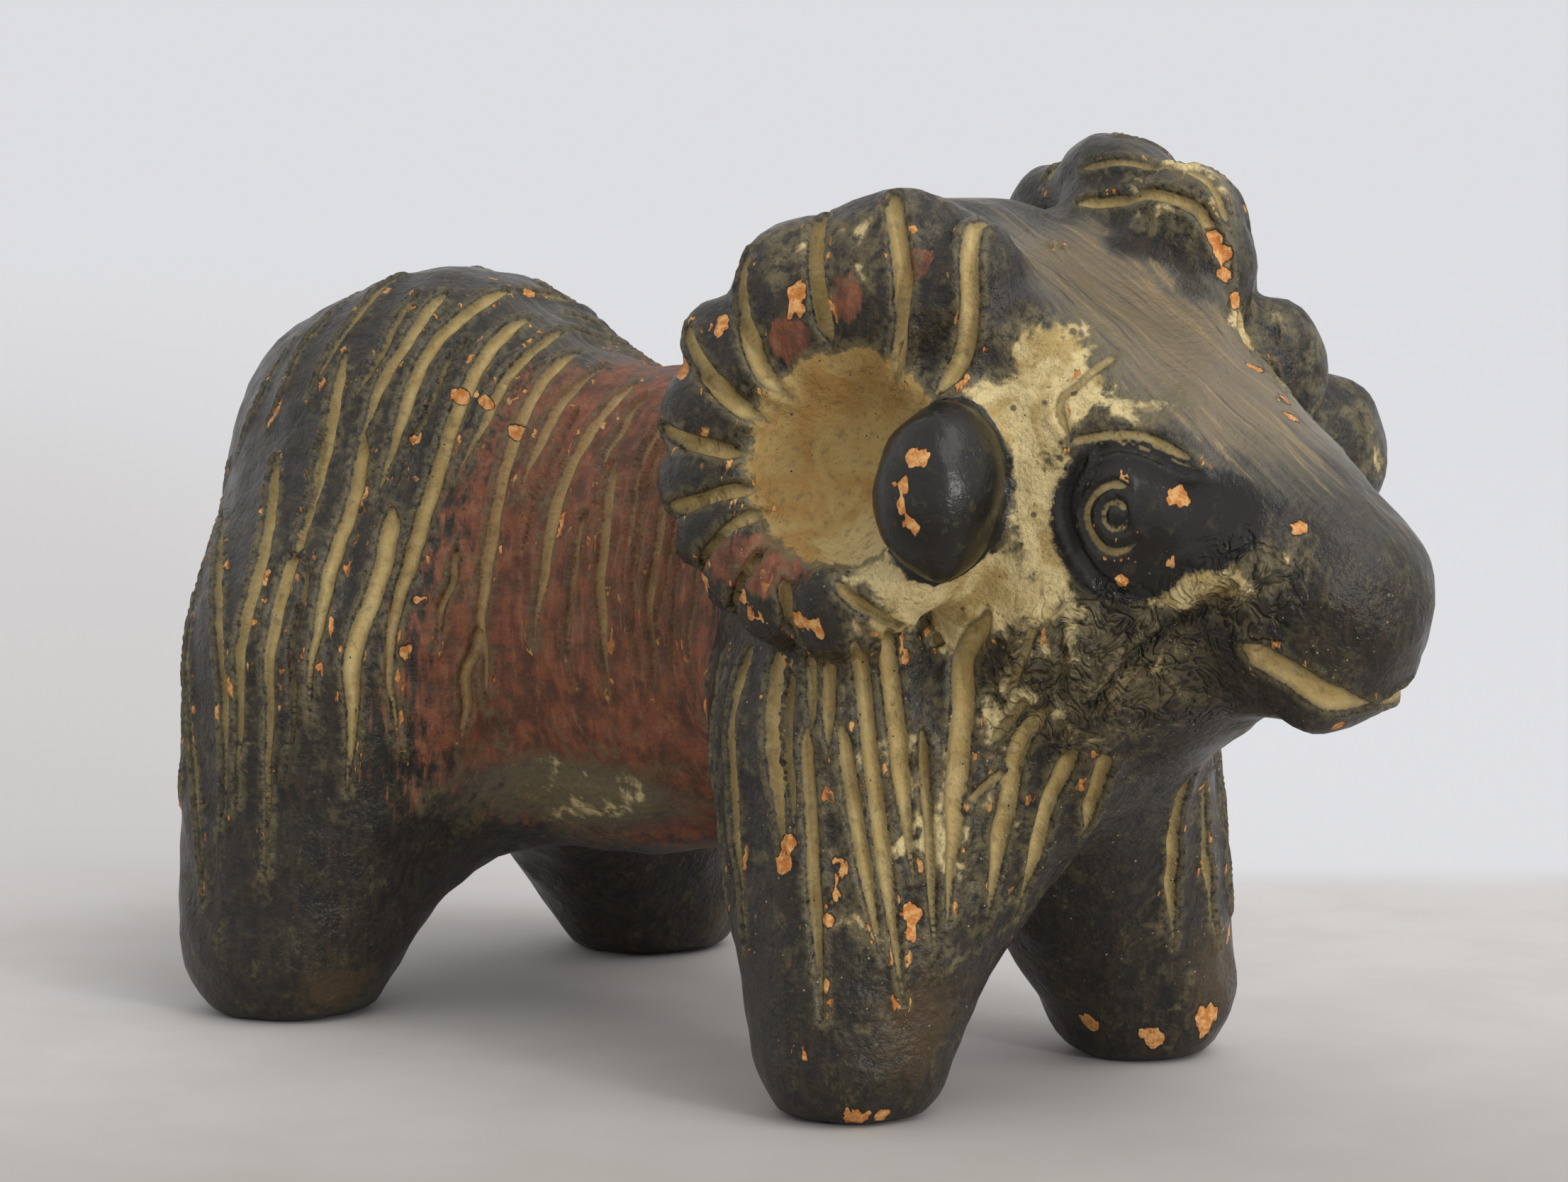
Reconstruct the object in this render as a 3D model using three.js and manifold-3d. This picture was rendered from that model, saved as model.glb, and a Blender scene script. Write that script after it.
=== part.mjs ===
// A moulded ceramic ram, about 12.5 cm long, standing on four stub legs with its horns rolled
// against its head. It is one piece of fired clay: the body is pressed together from soft
// lumps, and the fleece, horn ribs, eyes and mouth are cut into it with a stylus.
//
// Millimetres and degrees. +X points from the tail to the nose, +Y to the ram's left, +Z up.
// The floor is z = 0 and the origin lies under the middle of the bounding box.

import * as THREE from "three";
import { mergeVertices } from "three/addons/utils/BufferGeometryUtils.js";
import Module from "manifold-3d";

const wasm = await Module();
wasm.setup();

// Driving dimensions. Places are measured from the middle of the stance, on the floor, and
// whatever comes in pairs is given for the right side, where y is negative.

const STANCE_TO_ORIGIN = new THREE.Vector3(-7.3, 0, 0);

// Eggs of clay: where each one's middle is and its half sizes.
const RUMP = { at: [-32, 0, 37], size: [20.5, 19, 23] };
const TAIL = { at: [-46.8, 0, 41.5], size: [8.6, 9, 13.5] };
const BELLY = { at: [-7, 0, 33.3], size: [30, 14.5, 19.6], tilt: -12 };
const WITHERS = { at: [20, 0, 38], size: [18, 13, 18] };
const NAPE = { at: [19, 0, 51], size: [11, 15.5, 15.5] };
const SHOULDER = { at: [23.5, -7, 34], size: [15, 10.5, 13] };
const SKULL = { at: [31, 0, 52], size: [15, 14, 18] };

// Tapered rolls of clay: their ends and the radius at each end. The feet reach below the
// floor and are trimmed level with it.
const HIND_LEG = { from: [-29.5, -12.5, 27], to: [-30.5, -20.3, 6.5], radii: [15.2, 9] };
const FORE_LEG = { from: [26.5, -11, 27], to: [30.2, -16.4, 5.8], radii: [12, 7.7] };
const CHEST_LOBE = { from: [35, -4, 28], to: [30.5, -12, 13.5], radii: [9.3, 6.8] };
const BRISKET = { from: [42.5, 0, 40], to: [36, 0, 31], radii: [14.5, 9.5] };
const MUZZLE = { from: [42, 0, 50], to: [62.5, 0, 40.8], radii: [13.2, 8] };
const JAW = { from: [48, 0, 38], to: [62.5, 0, 36.5], radii: [7, 4.5], breadth: 1.15 };

// The forehead and the bridge of the nose are pressed to one flat slope.
const BRIDGE = { through: new THREE.Vector3(44, 0, 61), slope: 26.6 };

// How widely the seam is thumbed over where a lump joins the clay before it.
const SEAM = { tail: 6, belly: 10, withers: 8, nape: 6, hindLeg: 8, foreleg: 5, head: 3 };
const HEAD_SEAM = { muzzle: 6, jaw: 3, bridge: 3, horn: 1.2, hornStart: 8.2, dish: 1.5 };

const HEAD_PIVOT = new THREE.Vector3(34, 0, 40);
const HEAD_ROLL = 2; // lifts the left horn a little over the right one

const HORN = {
  centre: new THREE.Vector3(32.2, -17.2, 51.5),
  lean: 17, // the rolled horn's face looks up by this much
  toe: 13, // and forward by this much
  start: 78, // where the band leaves the forehead, turned up from straight ahead
  end: 300, // where it ends, under the boss
  radius: [12.5, 11.1], // to the middle of the band, at its start and its end
  band: [7.5, 3.9], // half the band's width
  flatness: [1.6, 1.2], // width over height of the band's section
  plug: { half: 12.5, thick: 4.5, sunk: 1.5, seam: 2 }, // closes the middle of the roll
  leftGrowth: 3.2, // the left horn is rolled larger, and starts further forward
  leftStart: -22,
};
const DISH = { at: [-0.3, -2, 4.2], size: [8, 8.2, 6.2] }; // along the horn's own axes
const BOSS = {
  right: { at: new THREE.Vector3(41.6, -18.6, 49.3), size: [4.6, 6.6, 5.2] },
  left: { at: new THREE.Vector3(43, -21.8, 47.5), size: [4.6, 6.6, 6.5] },
};

const EYE = { x: 52.5, z: 46.9, ring: 2.3, groove: 0.5, pit: 0.9 };
const BROW = { back: 48, front: 57.5, height: 51.3, drop: 1, arch: 1.4, width: 1.5 };
const MOUTH = { x: 58, corner: 62, height: 33.2, smile: 4.6, width: 2, depth: 0.7 };

const STYLUS_SIDES = 4;
const STROKE_DEPTH = 0.55;
const LIFTED_END = 0.3; // how far the stylus is off the clay at a stroke's ends
const HORN_RIB = { depth: 0.7, width: [2.4, 1.8], reach: [0.72, -0.75] };

// The grid that the clay's skin is drawn in, with shorter cells from the horns forward.
const REACH = { back: -62, horns: 10, front: 78, side: 34, under: -8, top: 80 };
const CELL = { body: 5.6, head: 3.4, cross: 4.5 };

const { clamp, degToRad, radToDeg, lerp, smoothstep } = THREE.MathUtils;
const RIGHT = -1;
const LEFT = 1;

// Fields of clay. A field is the distance to the surface, negative inside the clay.

// Joins two fields, with the seam thumbed over about as widely as the given softness.
function press(a, b, softness) {
  const share = clamp(0.5 + (0.5 * (b - a)) / softness, 0, 1);
  return lerp(b, a, share) - softness * share * (1 - share);
}

// Keeps what is in both fields, with the edge between them softened.
function trim(a, b, softness) {
  return -press(-a, -b, softness);
}

// An egg, tilted nose down by a positive tilt.
function egg(p, { at, size, tilt = 0 }) {
  const c = Math.cos(degToRad(tilt));
  const s = Math.sin(degToRad(tilt));
  const dx = p.x - at[0];
  const dz = p.z - at[2];
  const x = (dx * c - dz * s) / size[0];
  const y = (p.y - at[1]) / size[1];
  const z = (dx * s + dz * c) / size[2];
  const reach = Math.hypot(x, y, z);
  const steepness = Math.hypot(x / size[0], y / size[1], z / size[2]);
  return (reach * (reach - 1)) / Math.max(steepness, 1e-9);
}

// A tapered roll with round ends.
function roll(p, { from, to, radii, breadth = 1 }) {
  const axis = to.map((value, i) => value - from[i]);
  const length = Math.hypot(...axis);
  const q = [p.x - from[0], (p.y - from[1]) / breadth, p.z - from[2]];
  const along = (q[0] * axis[0] + q[1] * axis[1] + q[2] * axis[2]) / length;
  const across = Math.sqrt(Math.max(q[0] ** 2 + q[1] ** 2 + q[2] ** 2 - along ** 2, 0));
  const taper = (radii[0] - radii[1]) / length;
  const offset = (across * taper) / Math.sqrt(1 - taper * taper);
  const share = clamp((along - offset) / length, 0, 1);
  return Math.hypot(across, along - share * length) - lerp(radii[0], radii[1], share);
}

// The horn's own axes: forward along its face, up along its face, and out of it.
const lean = degToRad(HORN.lean);
const toe = degToRad(HORN.toe);
const hornForward = new THREE.Vector3(Math.cos(toe), Math.sin(toe), 0);
const hornOut = new THREE.Vector3(
  Math.sin(toe) * Math.cos(lean),
  -Math.cos(toe) * Math.cos(lean),
  Math.sin(lean),
);
const hornUp = new THREE.Vector3().crossVectors(hornForward, hornOut).negate();

function alongHornAxes(p) {
  const q = new THREE.Vector3().subVectors(p, HORN.centre);
  return new THREE.Vector3(q.dot(hornForward), q.dot(hornUp), q.dot(hornOut));
}

// How far round the band an angle lies, from 0 at its start to 1 at its end.
function roundBand(turn, left) {
  const start = HORN.start + HORN.leftStart * left;
  return clamp((turn - start) / (HORN.end - start), 0, 1);
}

function bandRadius(share, left) {
  return lerp(HORN.radius[0], HORN.radius[1], share) + HORN.leftGrowth * left * (1 - share);
}

// The band of the rolled horn with the plug in its middle. Left is 0 on the right horn and
// 1 on the left one.
function horn(q, left) {
  const turn = (radToDeg(Math.atan2(q.y, q.x)) + 360) % 360;
  const ahead = turn < 8 ? turn + 360 : turn;
  const share = roundBand(ahead, left);
  const angle = degToRad(clamp(ahead, HORN.start + HORN.leftStart * left, HORN.end));
  const radius = bandRadius(share, left);
  const ring = Math.hypot(
    q.x - radius * Math.cos(angle),
    q.y - radius * Math.sin(angle),
    q.z * lerp(HORN.flatness[0], HORN.flatness[1], share),
  );
  const band = (ring - lerp(HORN.band[0], HORN.band[1], share)) * 0.8;
  const { half, thick, sunk, seam } = HORN.plug;
  const plug = (Math.hypot(q.x / half, q.y / half, (q.z + sunk) / thick) - 1) * thick;
  return press(band, plug, seam);
}

function dish(q) {
  const { at, size } = DISH;
  const share = [(q.x - at[0]) / size[0], (q.y - at[1]) / size[1], (q.z - at[2]) / size[2]];
  return (Math.hypot(...share) - 1) * size[2];
}

function toRightSide(p) {
  return new THREE.Vector3(p.x, -Math.abs(p.y), p.z);
}

function head(p) {
  let clay = egg(p, SKULL);
  clay = press(clay, roll(p, MUZZLE), HEAD_SEAM.muzzle);
  clay = press(clay, roll(p, JAW), HEAD_SEAM.jaw);

  const slope = degToRad(BRIDGE.slope);
  const above = new THREE.Vector3(Math.sin(slope), 0, Math.cos(slope));
  const bridge = new THREE.Vector3().subVectors(p, BRIDGE.through).dot(above);
  clay = trim(clay, bridge, HEAD_SEAM.bridge);

  const q = alongHornAxes(toRightSide(p));
  const left = smoothstep(p.y, -2, 2);
  const nearForehead = smoothstep(q.x, -4, 8) * smoothstep(q.y, 2, 14);
  const seam = lerp(HEAD_SEAM.horn, HEAD_SEAM.hornStart, nearForehead);
  clay = press(clay, horn(q, left), seam);
  return trim(clay, -dish(q), HEAD_SEAM.dish);
}

// Carries a place on the right half of the level head to its real place, on either side.
function headPlacement(side) {
  const { x, y, z } = HEAD_PIVOT;
  return new THREE.Matrix4()
    .makeTranslation(x, y, z)
    .multiply(new THREE.Matrix4().makeRotationX(degToRad(HEAD_ROLL)))
    .multiply(new THREE.Matrix4().makeTranslation(-x, -y, -z))
    .multiply(new THREE.Matrix4().makeScale(1, -side, 1));
}
const levelHead = headPlacement(RIGHT).invert();

// The whole figure before its bosses are added and anything is cut into it.
function ram(p) {
  const m = toRightSide(p);
  let clay = press(egg(p, RUMP), egg(p, TAIL), SEAM.tail);
  clay = press(clay, egg(p, BELLY), SEAM.belly);
  clay = press(clay, egg(p, WITHERS), SEAM.withers);
  clay = press(clay, egg(p, NAPE), SEAM.nape);
  clay = press(clay, roll(m, HIND_LEG), SEAM.hindLeg);
  clay = press(clay, egg(m, SHOULDER), SEAM.foreleg);
  clay = press(clay, roll(p, BRISKET), SEAM.foreleg);
  clay = press(clay, roll(m, FORE_LEG), SEAM.foreleg);
  clay = press(clay, roll(m, CHEST_LOBE), SEAM.foreleg);
  return press(clay, head(p.clone().applyMatrix4(levelHead)), SEAM.head);
}

// The direction in which the clay's surface faces at a point.
function facing(p) {
  const step = 0.05;
  const rise = [0, 1, 2].map((axis) => {
    const ahead = p.clone().setComponent(axis, p.getComponent(axis) + step);
    const behind = p.clone().setComponent(axis, p.getComponent(axis) - step);
    return ram(ahead) - ram(behind);
  });
  return new THREE.Vector3(...rise).normalize();
}

// Where a straight path first meets the clay.
function touch(from, direction) {
  const p = from.clone();
  for (let step = 0; step < 200; step += 1) {
    const gap = ram(p);
    if (gap < 0.005) break;
    p.addScaledVector(direction, gap * 0.7);
  }
  return p;
}

// The skin of the clay.

// Evenly spaced grid planes between two places, no further apart than the given cell.
function evenPlanes(from, to, cell) {
  const cells = Math.ceil((to - from) / cell);
  return Array.from({ length: cells + 1 }, (_, i) => lerp(from, to, i / cells));
}

// Where clay meets clay only across the diagonal of a grid face, the skin would touch itself
// along an edge. One more corner of such a face is filled, until none is left.
function closePinches(depth, strides) {
  const filled = -1e-3;
  let pinched = true;
  while (pinched) {
    pinched = false;
    for (let here = 0; here < depth.length; here += 1)
      for (const axis of [0, 1, 2]) {
        const u = strides[axis];
        const v = strides[(axis + 1) % 3];
        if (here + u + v >= depth.length) continue;
        const ring = [here, here + u, here + u + v, here + v];
        const [a, b, c, d] = ring.map((corner) => depth[corner] < 0);
        if (a !== c || b !== d || a === b) continue;
        depth[a ? ring[1] : ring[0]] = filled;
        pinched = true;
      }
  }
}

// The twelve edges of a grid cell, each as the offsets of its two corners.
function cellEdges() {
  const edges = [];
  for (const axis of [0, 1, 2])
    for (const u of [0, 1])
      for (const v of [0, 1]) {
        const start = [0, 0, 0];
        start[(axis + 1) % 3] = u;
        start[(axis + 2) % 3] = v;
        const end = [...start];
        end[axis] = 1;
        edges.push([start, end]);
      }
  return edges;
}

// One closed mesh: a vertex in each grid cell that the skin passes through, slid onto the
// skin, and a quad across each grid edge that the skin crosses.
function drawSkin(planes) {
  const count = planes.map((list) => list.length);
  const strides = [count[1] * count[2], count[2], 1];
  const index = (i, j, k) => i * strides[0] + j * strides[1] + k;
  const corner = (i, j, k) => new THREE.Vector3(planes[0][i], planes[1][j], planes[2][k]);
  const depth = new Float64Array(count[0] * strides[0]);
  for (let i = 0; i < count[0]; i += 1)
    for (let j = 0; j < count[1]; j += 1)
      for (let k = 0; k < count[2]; k += 1) depth[index(i, j, k)] = ram(corner(i, j, k));
  closePinches(depth, strides);

  const places = [];
  const vertexOfCell = new Map();
  const edges = cellEdges();
  function addVertex(i, j, k) {
    const sum = new THREE.Vector3();
    let crossed = 0;
    for (const [start, end] of edges) {
      const [a, b] = [start, end].map((offset) => [i + offset[0], j + offset[1], k + offset[2]]);
      const from = depth[index(...a)];
      const to = depth[index(...b)];
      if (from < 0 === to < 0) continue;
      sum.add(corner(...a).lerp(corner(...b), from / (from - to)));
      crossed += 1;
    }
    if (crossed === 0) return;
    const p = sum.divideScalar(crossed);
    for (let pass = 0; pass < 4; pass += 1) p.addScaledVector(facing(p), -ram(p) * 0.8);
    vertexOfCell.set(index(i, j, k), places.length);
    places.push(p);
  }

  const triangles = [];
  function addQuad([a, b, c, d]) {
    const first = places[a].distanceTo(places[c]);
    const second = places[b].distanceTo(places[d]);
    if (first <= second) triangles.push(a, b, c, a, c, d);
    else triangles.push(b, c, d, b, d, a);
  }

  for (let i = 0; i < count[0] - 1; i += 1)
    for (let j = 0; j < count[1] - 1; j += 1)
      for (let k = 0; k < count[2] - 1; k += 1) addVertex(i, j, k);

  for (let i = 1; i < count[0] - 1; i += 1)
    for (let j = 1; j < count[1] - 1; j += 1)
      for (let k = 1; k < count[2] - 1; k += 1)
        for (const axis of [0, 1, 2]) {
          const here = index(i, j, k);
          const inside = depth[here] < 0;
          if (inside === depth[here + strides[axis]] < 0) continue;
          const u = strides[(axis + 1) % 3];
          const v = strides[(axis + 2) % 3];
          const quad = [here, here - u, here - u - v, here - v];
          if (!inside) quad.reverse();
          addQuad(quad.map((cell) => vertexOfCell.get(cell)));
        }

  return new THREE.BufferGeometry().setFromPoints(places).setIndex(triangles);
}

// The stylus. A stroke is a narrow tube laid along the skin, which sinks in from both ends,
// so that cutting it out leaves a groove with tapering ends.

function stylusSection(radius) {
  const outline = [];
  for (let corner = 0; corner < STYLUS_SIDES; corner += 1) {
    const angle = (2 * Math.PI * corner) / STYLUS_SIDES;
    outline.push(new THREE.Vector2(radius * Math.cos(angle), radius * Math.sin(angle)));
  }
  return new THREE.Shape(outline);
}

// A groove through points that a function lays on the skin, from share 0 to share 1.
function stroke(onSkin, { width, depth = STROKE_DEPTH, stops }) {
  const radius = (width * width) / (8 * depth) + depth / 2;
  const points = [];
  for (let stop = 0; stop < stops; stop += 1) {
    const share = stop / (stops - 1);
    const pressure = Math.min(1, 1.7 * Math.sin(Math.PI * share));
    const sunk = lerp(-LIFTED_END, depth, pressure);
    const p = onSkin(share);
    points.push(p.clone().addScaledVector(facing(p), radius - sunk));
  }
  return new THREE.ExtrudeGeometry(stylusSection(radius), {
    steps: stops + 1,
    bevelEnabled: false,
    extrudePath: new THREE.CatmullRomCurve3(points),
  });
}

// The fleece: strokes down the flank from beside the spine. Each has its place along the
// body at its top and its foot, and swings about the body's middle between two angles
// above level.
const FLEECE_AXIS_HEIGHT = 34;
const FLEECE = {
  right: [
    { x: -39, foot: -34, from: 26, to: -38, width: 1.7 },
    { x: -31.5, foot: -26, from: 58, to: -34, width: 2.1 },
    { x: -25.5, foot: -22.5, from: 78, to: -22, width: 1.9 },
    { x: -20.5, foot: -17.5, from: 78, to: -32, width: 2.3 },
    { x: -15.5, foot: -12.5, from: 76, to: -32, width: 2 },
    { x: -11, foot: -9, from: 74, to: 8, width: 1.8 },
    { x: -6, foot: -5.5, from: 70, to: -10, width: 1.9 },
    { x: -1, foot: -1, from: 60, to: -18, width: 1.6 },
    { x: 4.5, foot: 4, from: 44, to: -16, width: 1.5 },
  ],
  left: [
    { x: -38, foot: -33, from: 32, to: -36, width: 1.8 },
    { x: -30, foot: -26, from: 62, to: -30, width: 2.1 },
    { x: -23.5, foot: -20, from: 76, to: -30, width: 2.2 },
    { x: -17, foot: -14.5, from: 76, to: -24, width: 2.1 },
    { x: -10.5, foot: -9, from: 72, to: -26, width: 1.9 },
    { x: -4.5, foot: -4, from: 66, to: -16, width: 1.8 },
    { x: 1.5, foot: 1.5, from: 52, to: -18, width: 1.6 },
  ],
};

function fleeceStroke(side, { x, foot, from, to, width }) {
  const onFlank = (share) => {
    const angle = degToRad(lerp(from, to, share));
    const out = new THREE.Vector3(0, side * Math.cos(angle), Math.sin(angle));
    const middle = new THREE.Vector3(lerp(x, foot, share), 0, FLEECE_AXIS_HEIGHT);
    return touch(middle.addScaledVector(out, 45), out.negate());
  };
  return stroke(onFlank, { width, stops: 7 });
}

// The chest and forelegs: upright strokes, set by their angle round an upright axis inside
// the chest, from straight ahead to straight sideways.
const CHEST_AXIS = { x: 24, y: 8 };
const CHEST = {
  right: [
    { turn: 5, top: 27, bottom: 15, width: 1.8 },
    { turn: 18, top: 32, bottom: 15, width: 1.9 },
    { turn: 32, top: 34, bottom: 17, width: 2 },
    { turn: 46, top: 34, bottom: 10, width: 2 },
    { turn: 62, top: 33, bottom: 9, width: 1.9 },
    { turn: 80, top: 33, bottom: 15, width: 1.8 },
  ],
  left: [
    { turn: 8, top: 26, bottom: 10, width: 1.8 },
    { turn: 26, top: 31, bottom: 9, width: 1.9 },
    { turn: 46, top: 33, bottom: 11, width: 1.9 },
    { turn: 68, top: 33, bottom: 13, width: 1.8 },
  ],
};

function chestStroke(side, { turn, top, bottom, width }) {
  const angle = degToRad(turn);
  const out = new THREE.Vector3(Math.cos(angle), side * Math.sin(angle), 0);
  const onLeg = (share) => {
    const height = lerp(top, bottom, share);
    const middle = new THREE.Vector3(CHEST_AXIS.x, side * CHEST_AXIS.y, height);
    return touch(middle.addScaledVector(out, 26), out.clone().negate());
  };
  return stroke(onLeg, { width, stops: 6 });
}

// The horn's ribs: strokes across the band, from near its rim into the dish, at these
// angles up and round from straight ahead.
const RIB_TURNS = [56, 79, 102, 128, 153, 179, 204, 229, 256, 284];

function rib(side, turn) {
  const left = side === LEFT ? 1 : 0;
  const share = roundBand(turn, left);
  const band = lerp(HORN.band[0], HORN.band[1], share);
  const placement = headPlacement(side);
  const inward = hornOut.clone().negate().transformDirection(placement);
  const onHorn = (along) => {
    const radius = bandRadius(share, left) + band * lerp(...HORN_RIB.reach, along);
    const p = HORN.centre
      .clone()
      .addScaledVector(hornForward, radius * Math.cos(degToRad(turn)))
      .addScaledVector(hornUp, radius * Math.sin(degToRad(turn)))
      .addScaledVector(hornOut, 12)
      .applyMatrix4(placement);
    return touch(p, inward);
  };
  return stroke(onHorn, {
    width: lerp(...HORN_RIB.width, share),
    depth: HORN_RIB.depth,
    stops: 5,
  });
}

// The egg-shaped boss that closes the roll of each horn.
function boss(side, { at, size }) {
  const axes = new THREE.Matrix4().makeBasis(
    hornForward.clone().multiplyScalar(size[0]),
    hornUp.clone().multiplyScalar(size[1]),
    hornOut.clone().multiplyScalar(size[2]),
  );
  const placement = headPlacement(side)
    .multiply(new THREE.Matrix4().makeTranslation(at))
    .multiply(axes);
  if (placement.determinant() < 0) placement.multiply(new THREE.Matrix4().makeScale(1, 1, -1));
  return new THREE.SphereGeometry(1, 16, 11).applyMatrix4(placement);
}

function onCheek(side, x, z) {
  return touch(new THREE.Vector3(x, side * 30, z), new THREE.Vector3(0, -side, 0));
}

// The eye: a pit inside a ring, pressed into the side of the face.
function eye(side) {
  const centre = onCheek(side, EYE.x, EYE.z);
  const placement = new THREE.Matrix4().compose(
    centre,
    new THREE.Quaternion().setFromUnitVectors(new THREE.Vector3(0, 0, 1), facing(centre)),
    new THREE.Vector3(1, 1, 1),
  );
  return [
    new THREE.TorusGeometry(EYE.ring, EYE.groove, 6, 18).applyMatrix4(placement),
    new THREE.SphereGeometry(EYE.pit, 10, 6).applyMatrix4(placement),
  ];
}

function brow(side) {
  const overEye = (share) => {
    const arch = BROW.arch * Math.sin(Math.PI * share);
    return onCheek(side, lerp(BROW.back, BROW.front, share), BROW.height - BROW.drop * share + arch);
  };
  return stroke(overEye, { width: BROW.width, stops: 5 });
}

// The mouth: one stroke round the muzzle, higher at its corners.
function mouth() {
  const onMuzzle = (share) => {
    const turn = lerp(-MOUTH.corner, MOUTH.corner, share);
    const height = MOUTH.height + MOUTH.smile * (turn / MOUTH.corner) ** 2;
    const out = new THREE.Vector3(Math.cos(degToRad(turn)), Math.sin(degToRad(turn)), 0);
    const middle = new THREE.Vector3(MOUTH.x, 0, height);
    return touch(middle.addScaledVector(out, 25), out.negate());
  };
  return stroke(onMuzzle, { width: MOUTH.width, depth: MOUTH.depth, stops: 9 });
}

// A closed geometry as a solid, and a solid as a geometry.

function solidOf(geometry) {
  const bare = geometry.clone();
  bare.deleteAttribute("normal");
  bare.deleteAttribute("uv");
  const merged = mergeVertices(bare, 1e-4);
  return new wasm.Manifold(
    new wasm.Mesh({
      numProp: 3,
      vertProperties: new Float32Array(merged.attributes.position.array),
      triVerts: new Uint32Array(merged.index.array),
    }),
  );
}

function geometryOf(solid) {
  const mesh = solid.getMesh();
  const geometry = new THREE.BufferGeometry();
  geometry.setAttribute("position", new THREE.BufferAttribute(mesh.vertProperties, 3));
  geometry.setIndex(new THREE.BufferAttribute(mesh.triVerts, 1));
  return geometry;
}

// The figure: the pressed clay, its bosses, the cuts of the stylus, and the level soles.
function figure() {
  const lengthwise = [
    ...evenPlanes(REACH.back, REACH.horns, CELL.body),
    ...evenPlanes(REACH.horns, REACH.front, CELL.head).slice(1),
  ];
  const across = evenPlanes(-REACH.side, REACH.side, CELL.cross);
  const upward = evenPlanes(REACH.under, REACH.top, CELL.cross);
  let clay = solidOf(drawSkin([lengthwise, across, upward]));
  clay = clay.add(solidOf(boss(RIGHT, BOSS.right)));
  clay = clay.add(solidOf(boss(LEFT, BOSS.left)));

  const cuts = [mouth()];
  cuts.push(...FLEECE.right.map((place) => fleeceStroke(RIGHT, place)));
  cuts.push(...FLEECE.left.map((place) => fleeceStroke(LEFT, place)));
  cuts.push(...CHEST.right.map((place) => chestStroke(RIGHT, place)));
  cuts.push(...CHEST.left.map((place) => chestStroke(LEFT, place)));
  for (const side of [RIGHT, LEFT]) {
    cuts.push(...RIB_TURNS.map((turn) => rib(side, turn)));
    cuts.push(...eye(side), brow(side));
  }
  for (const cut of cuts) clay = clay.subtract(solidOf(cut));

  const underFloor = new THREE.BoxGeometry(200, 200, 20).translate(0, 0, -10);
  clay = clay.subtract(solidOf(underFloor));
  return geometryOf(clay).translate(...STANCE_TO_ORIGIN);
}

const wornSlip = new THREE.MeshStandardMaterial({
  name: "worn dark slip over fired clay",
  color: 0x3a332b,
  roughness: 0.55,
  metalness: 0,
});

const ramFigurine = new THREE.Mesh(figure(), wornSlip);
ramFigurine.name = "ram_figurine";

const part = new THREE.Group();
part.add(ramFigurine);

export default part;
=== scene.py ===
"""A moulded clay ram under worn dark slip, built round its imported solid.

The shape is a field of clay lumps, pressed together and drawn as one fine closed skin. A
stylus then cuts the fleece, the horn ribs and the face into it, and the finish reads from
the skin's own attributes where the pale wash fills a groove, where the slip is chipped and
where it is brown. Shapes are worked out in millimetres from the middle of the stance, with
+X towards the nose, +Y to the ram's left and +Z up, and made in metres in the part's frame.
"""

import logging
import math
from dataclasses import dataclass, field
from enum import Enum
from itertools import product
from typing import Callable, Sequence

import bpy
import numpy as np
from mathutils import Matrix, Vector
from mathutils.kdtree import KDTree


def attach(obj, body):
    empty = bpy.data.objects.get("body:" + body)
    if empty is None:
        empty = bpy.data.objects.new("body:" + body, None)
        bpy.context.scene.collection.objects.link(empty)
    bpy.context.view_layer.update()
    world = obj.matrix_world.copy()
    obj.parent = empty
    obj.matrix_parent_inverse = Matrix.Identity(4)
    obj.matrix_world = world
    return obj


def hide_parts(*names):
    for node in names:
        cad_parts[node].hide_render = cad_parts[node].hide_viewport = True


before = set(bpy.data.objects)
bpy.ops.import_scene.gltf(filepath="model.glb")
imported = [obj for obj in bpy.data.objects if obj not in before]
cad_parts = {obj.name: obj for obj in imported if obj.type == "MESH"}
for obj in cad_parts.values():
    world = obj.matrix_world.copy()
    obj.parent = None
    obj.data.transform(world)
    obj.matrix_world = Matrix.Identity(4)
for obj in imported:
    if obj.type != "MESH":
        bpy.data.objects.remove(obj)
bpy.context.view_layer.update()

Point = tuple[float, float, float]
Rise = tuple[float, float]
Colour = tuple[float, float, float, float]
Field = Callable[[np.ndarray], np.ndarray]
Socket = bpy.types.NodeSocket

LOG = logging.getLogger("ram")
NODE = "ram_figurine"
BODY = "root"
MM = 0.001
STANCE_TO_ORIGIN = np.array((-7.3, 0.0, 0.0))
LEFT_FROM = 2.0
RUMP_AXIS = (-32.0, 4.0)


class Side(Enum):
    """The two sides of the animal, by the sign of y."""

    RIGHT = -1
    LEFT = 1


class Mark(Enum):
    """The vertex attributes that the finish reads."""

    GROOVE = "groove_depth_in"
    FILL = "groove_fill"
    WASH = "pale_wash"
    DISH = "ochre_dish"
    RUSSET = "russet_band"
    # Grey clay worn by rubbing, and painted light: sky-light on the spine's top, light on the nose
    # front and bounce light from the table on the belly.
    SMOOTH = "smooth_grey"
    CHIP = "chipped"
    INK = "dark_slip"
    # Pale grains, denser on the chest and forelegs, where the specks also paint glints.
    SAND_AND_GLINTS = "sandy"
    UMBER = "brown_glaze"
    CRAWL = "crawled"


# Fields of clay: distances to the surface, negative inside the clay.


def press(a: np.ndarray, b: np.ndarray, softness: np.ndarray | float) -> np.ndarray:
    """Joins two fields, with the seam between them thumbed over a width in millimetres."""
    share = np.clip(0.5 + 0.5 * (b - a) / softness, 0, 1)
    return b * (1 - share) + a * share - softness * share * (1 - share)


def trim(a: np.ndarray, b: np.ndarray, softness: float) -> np.ndarray:
    """Keeps what is in both fields, with the edge between them rounded."""
    return -press(-a, -b, softness)


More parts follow.
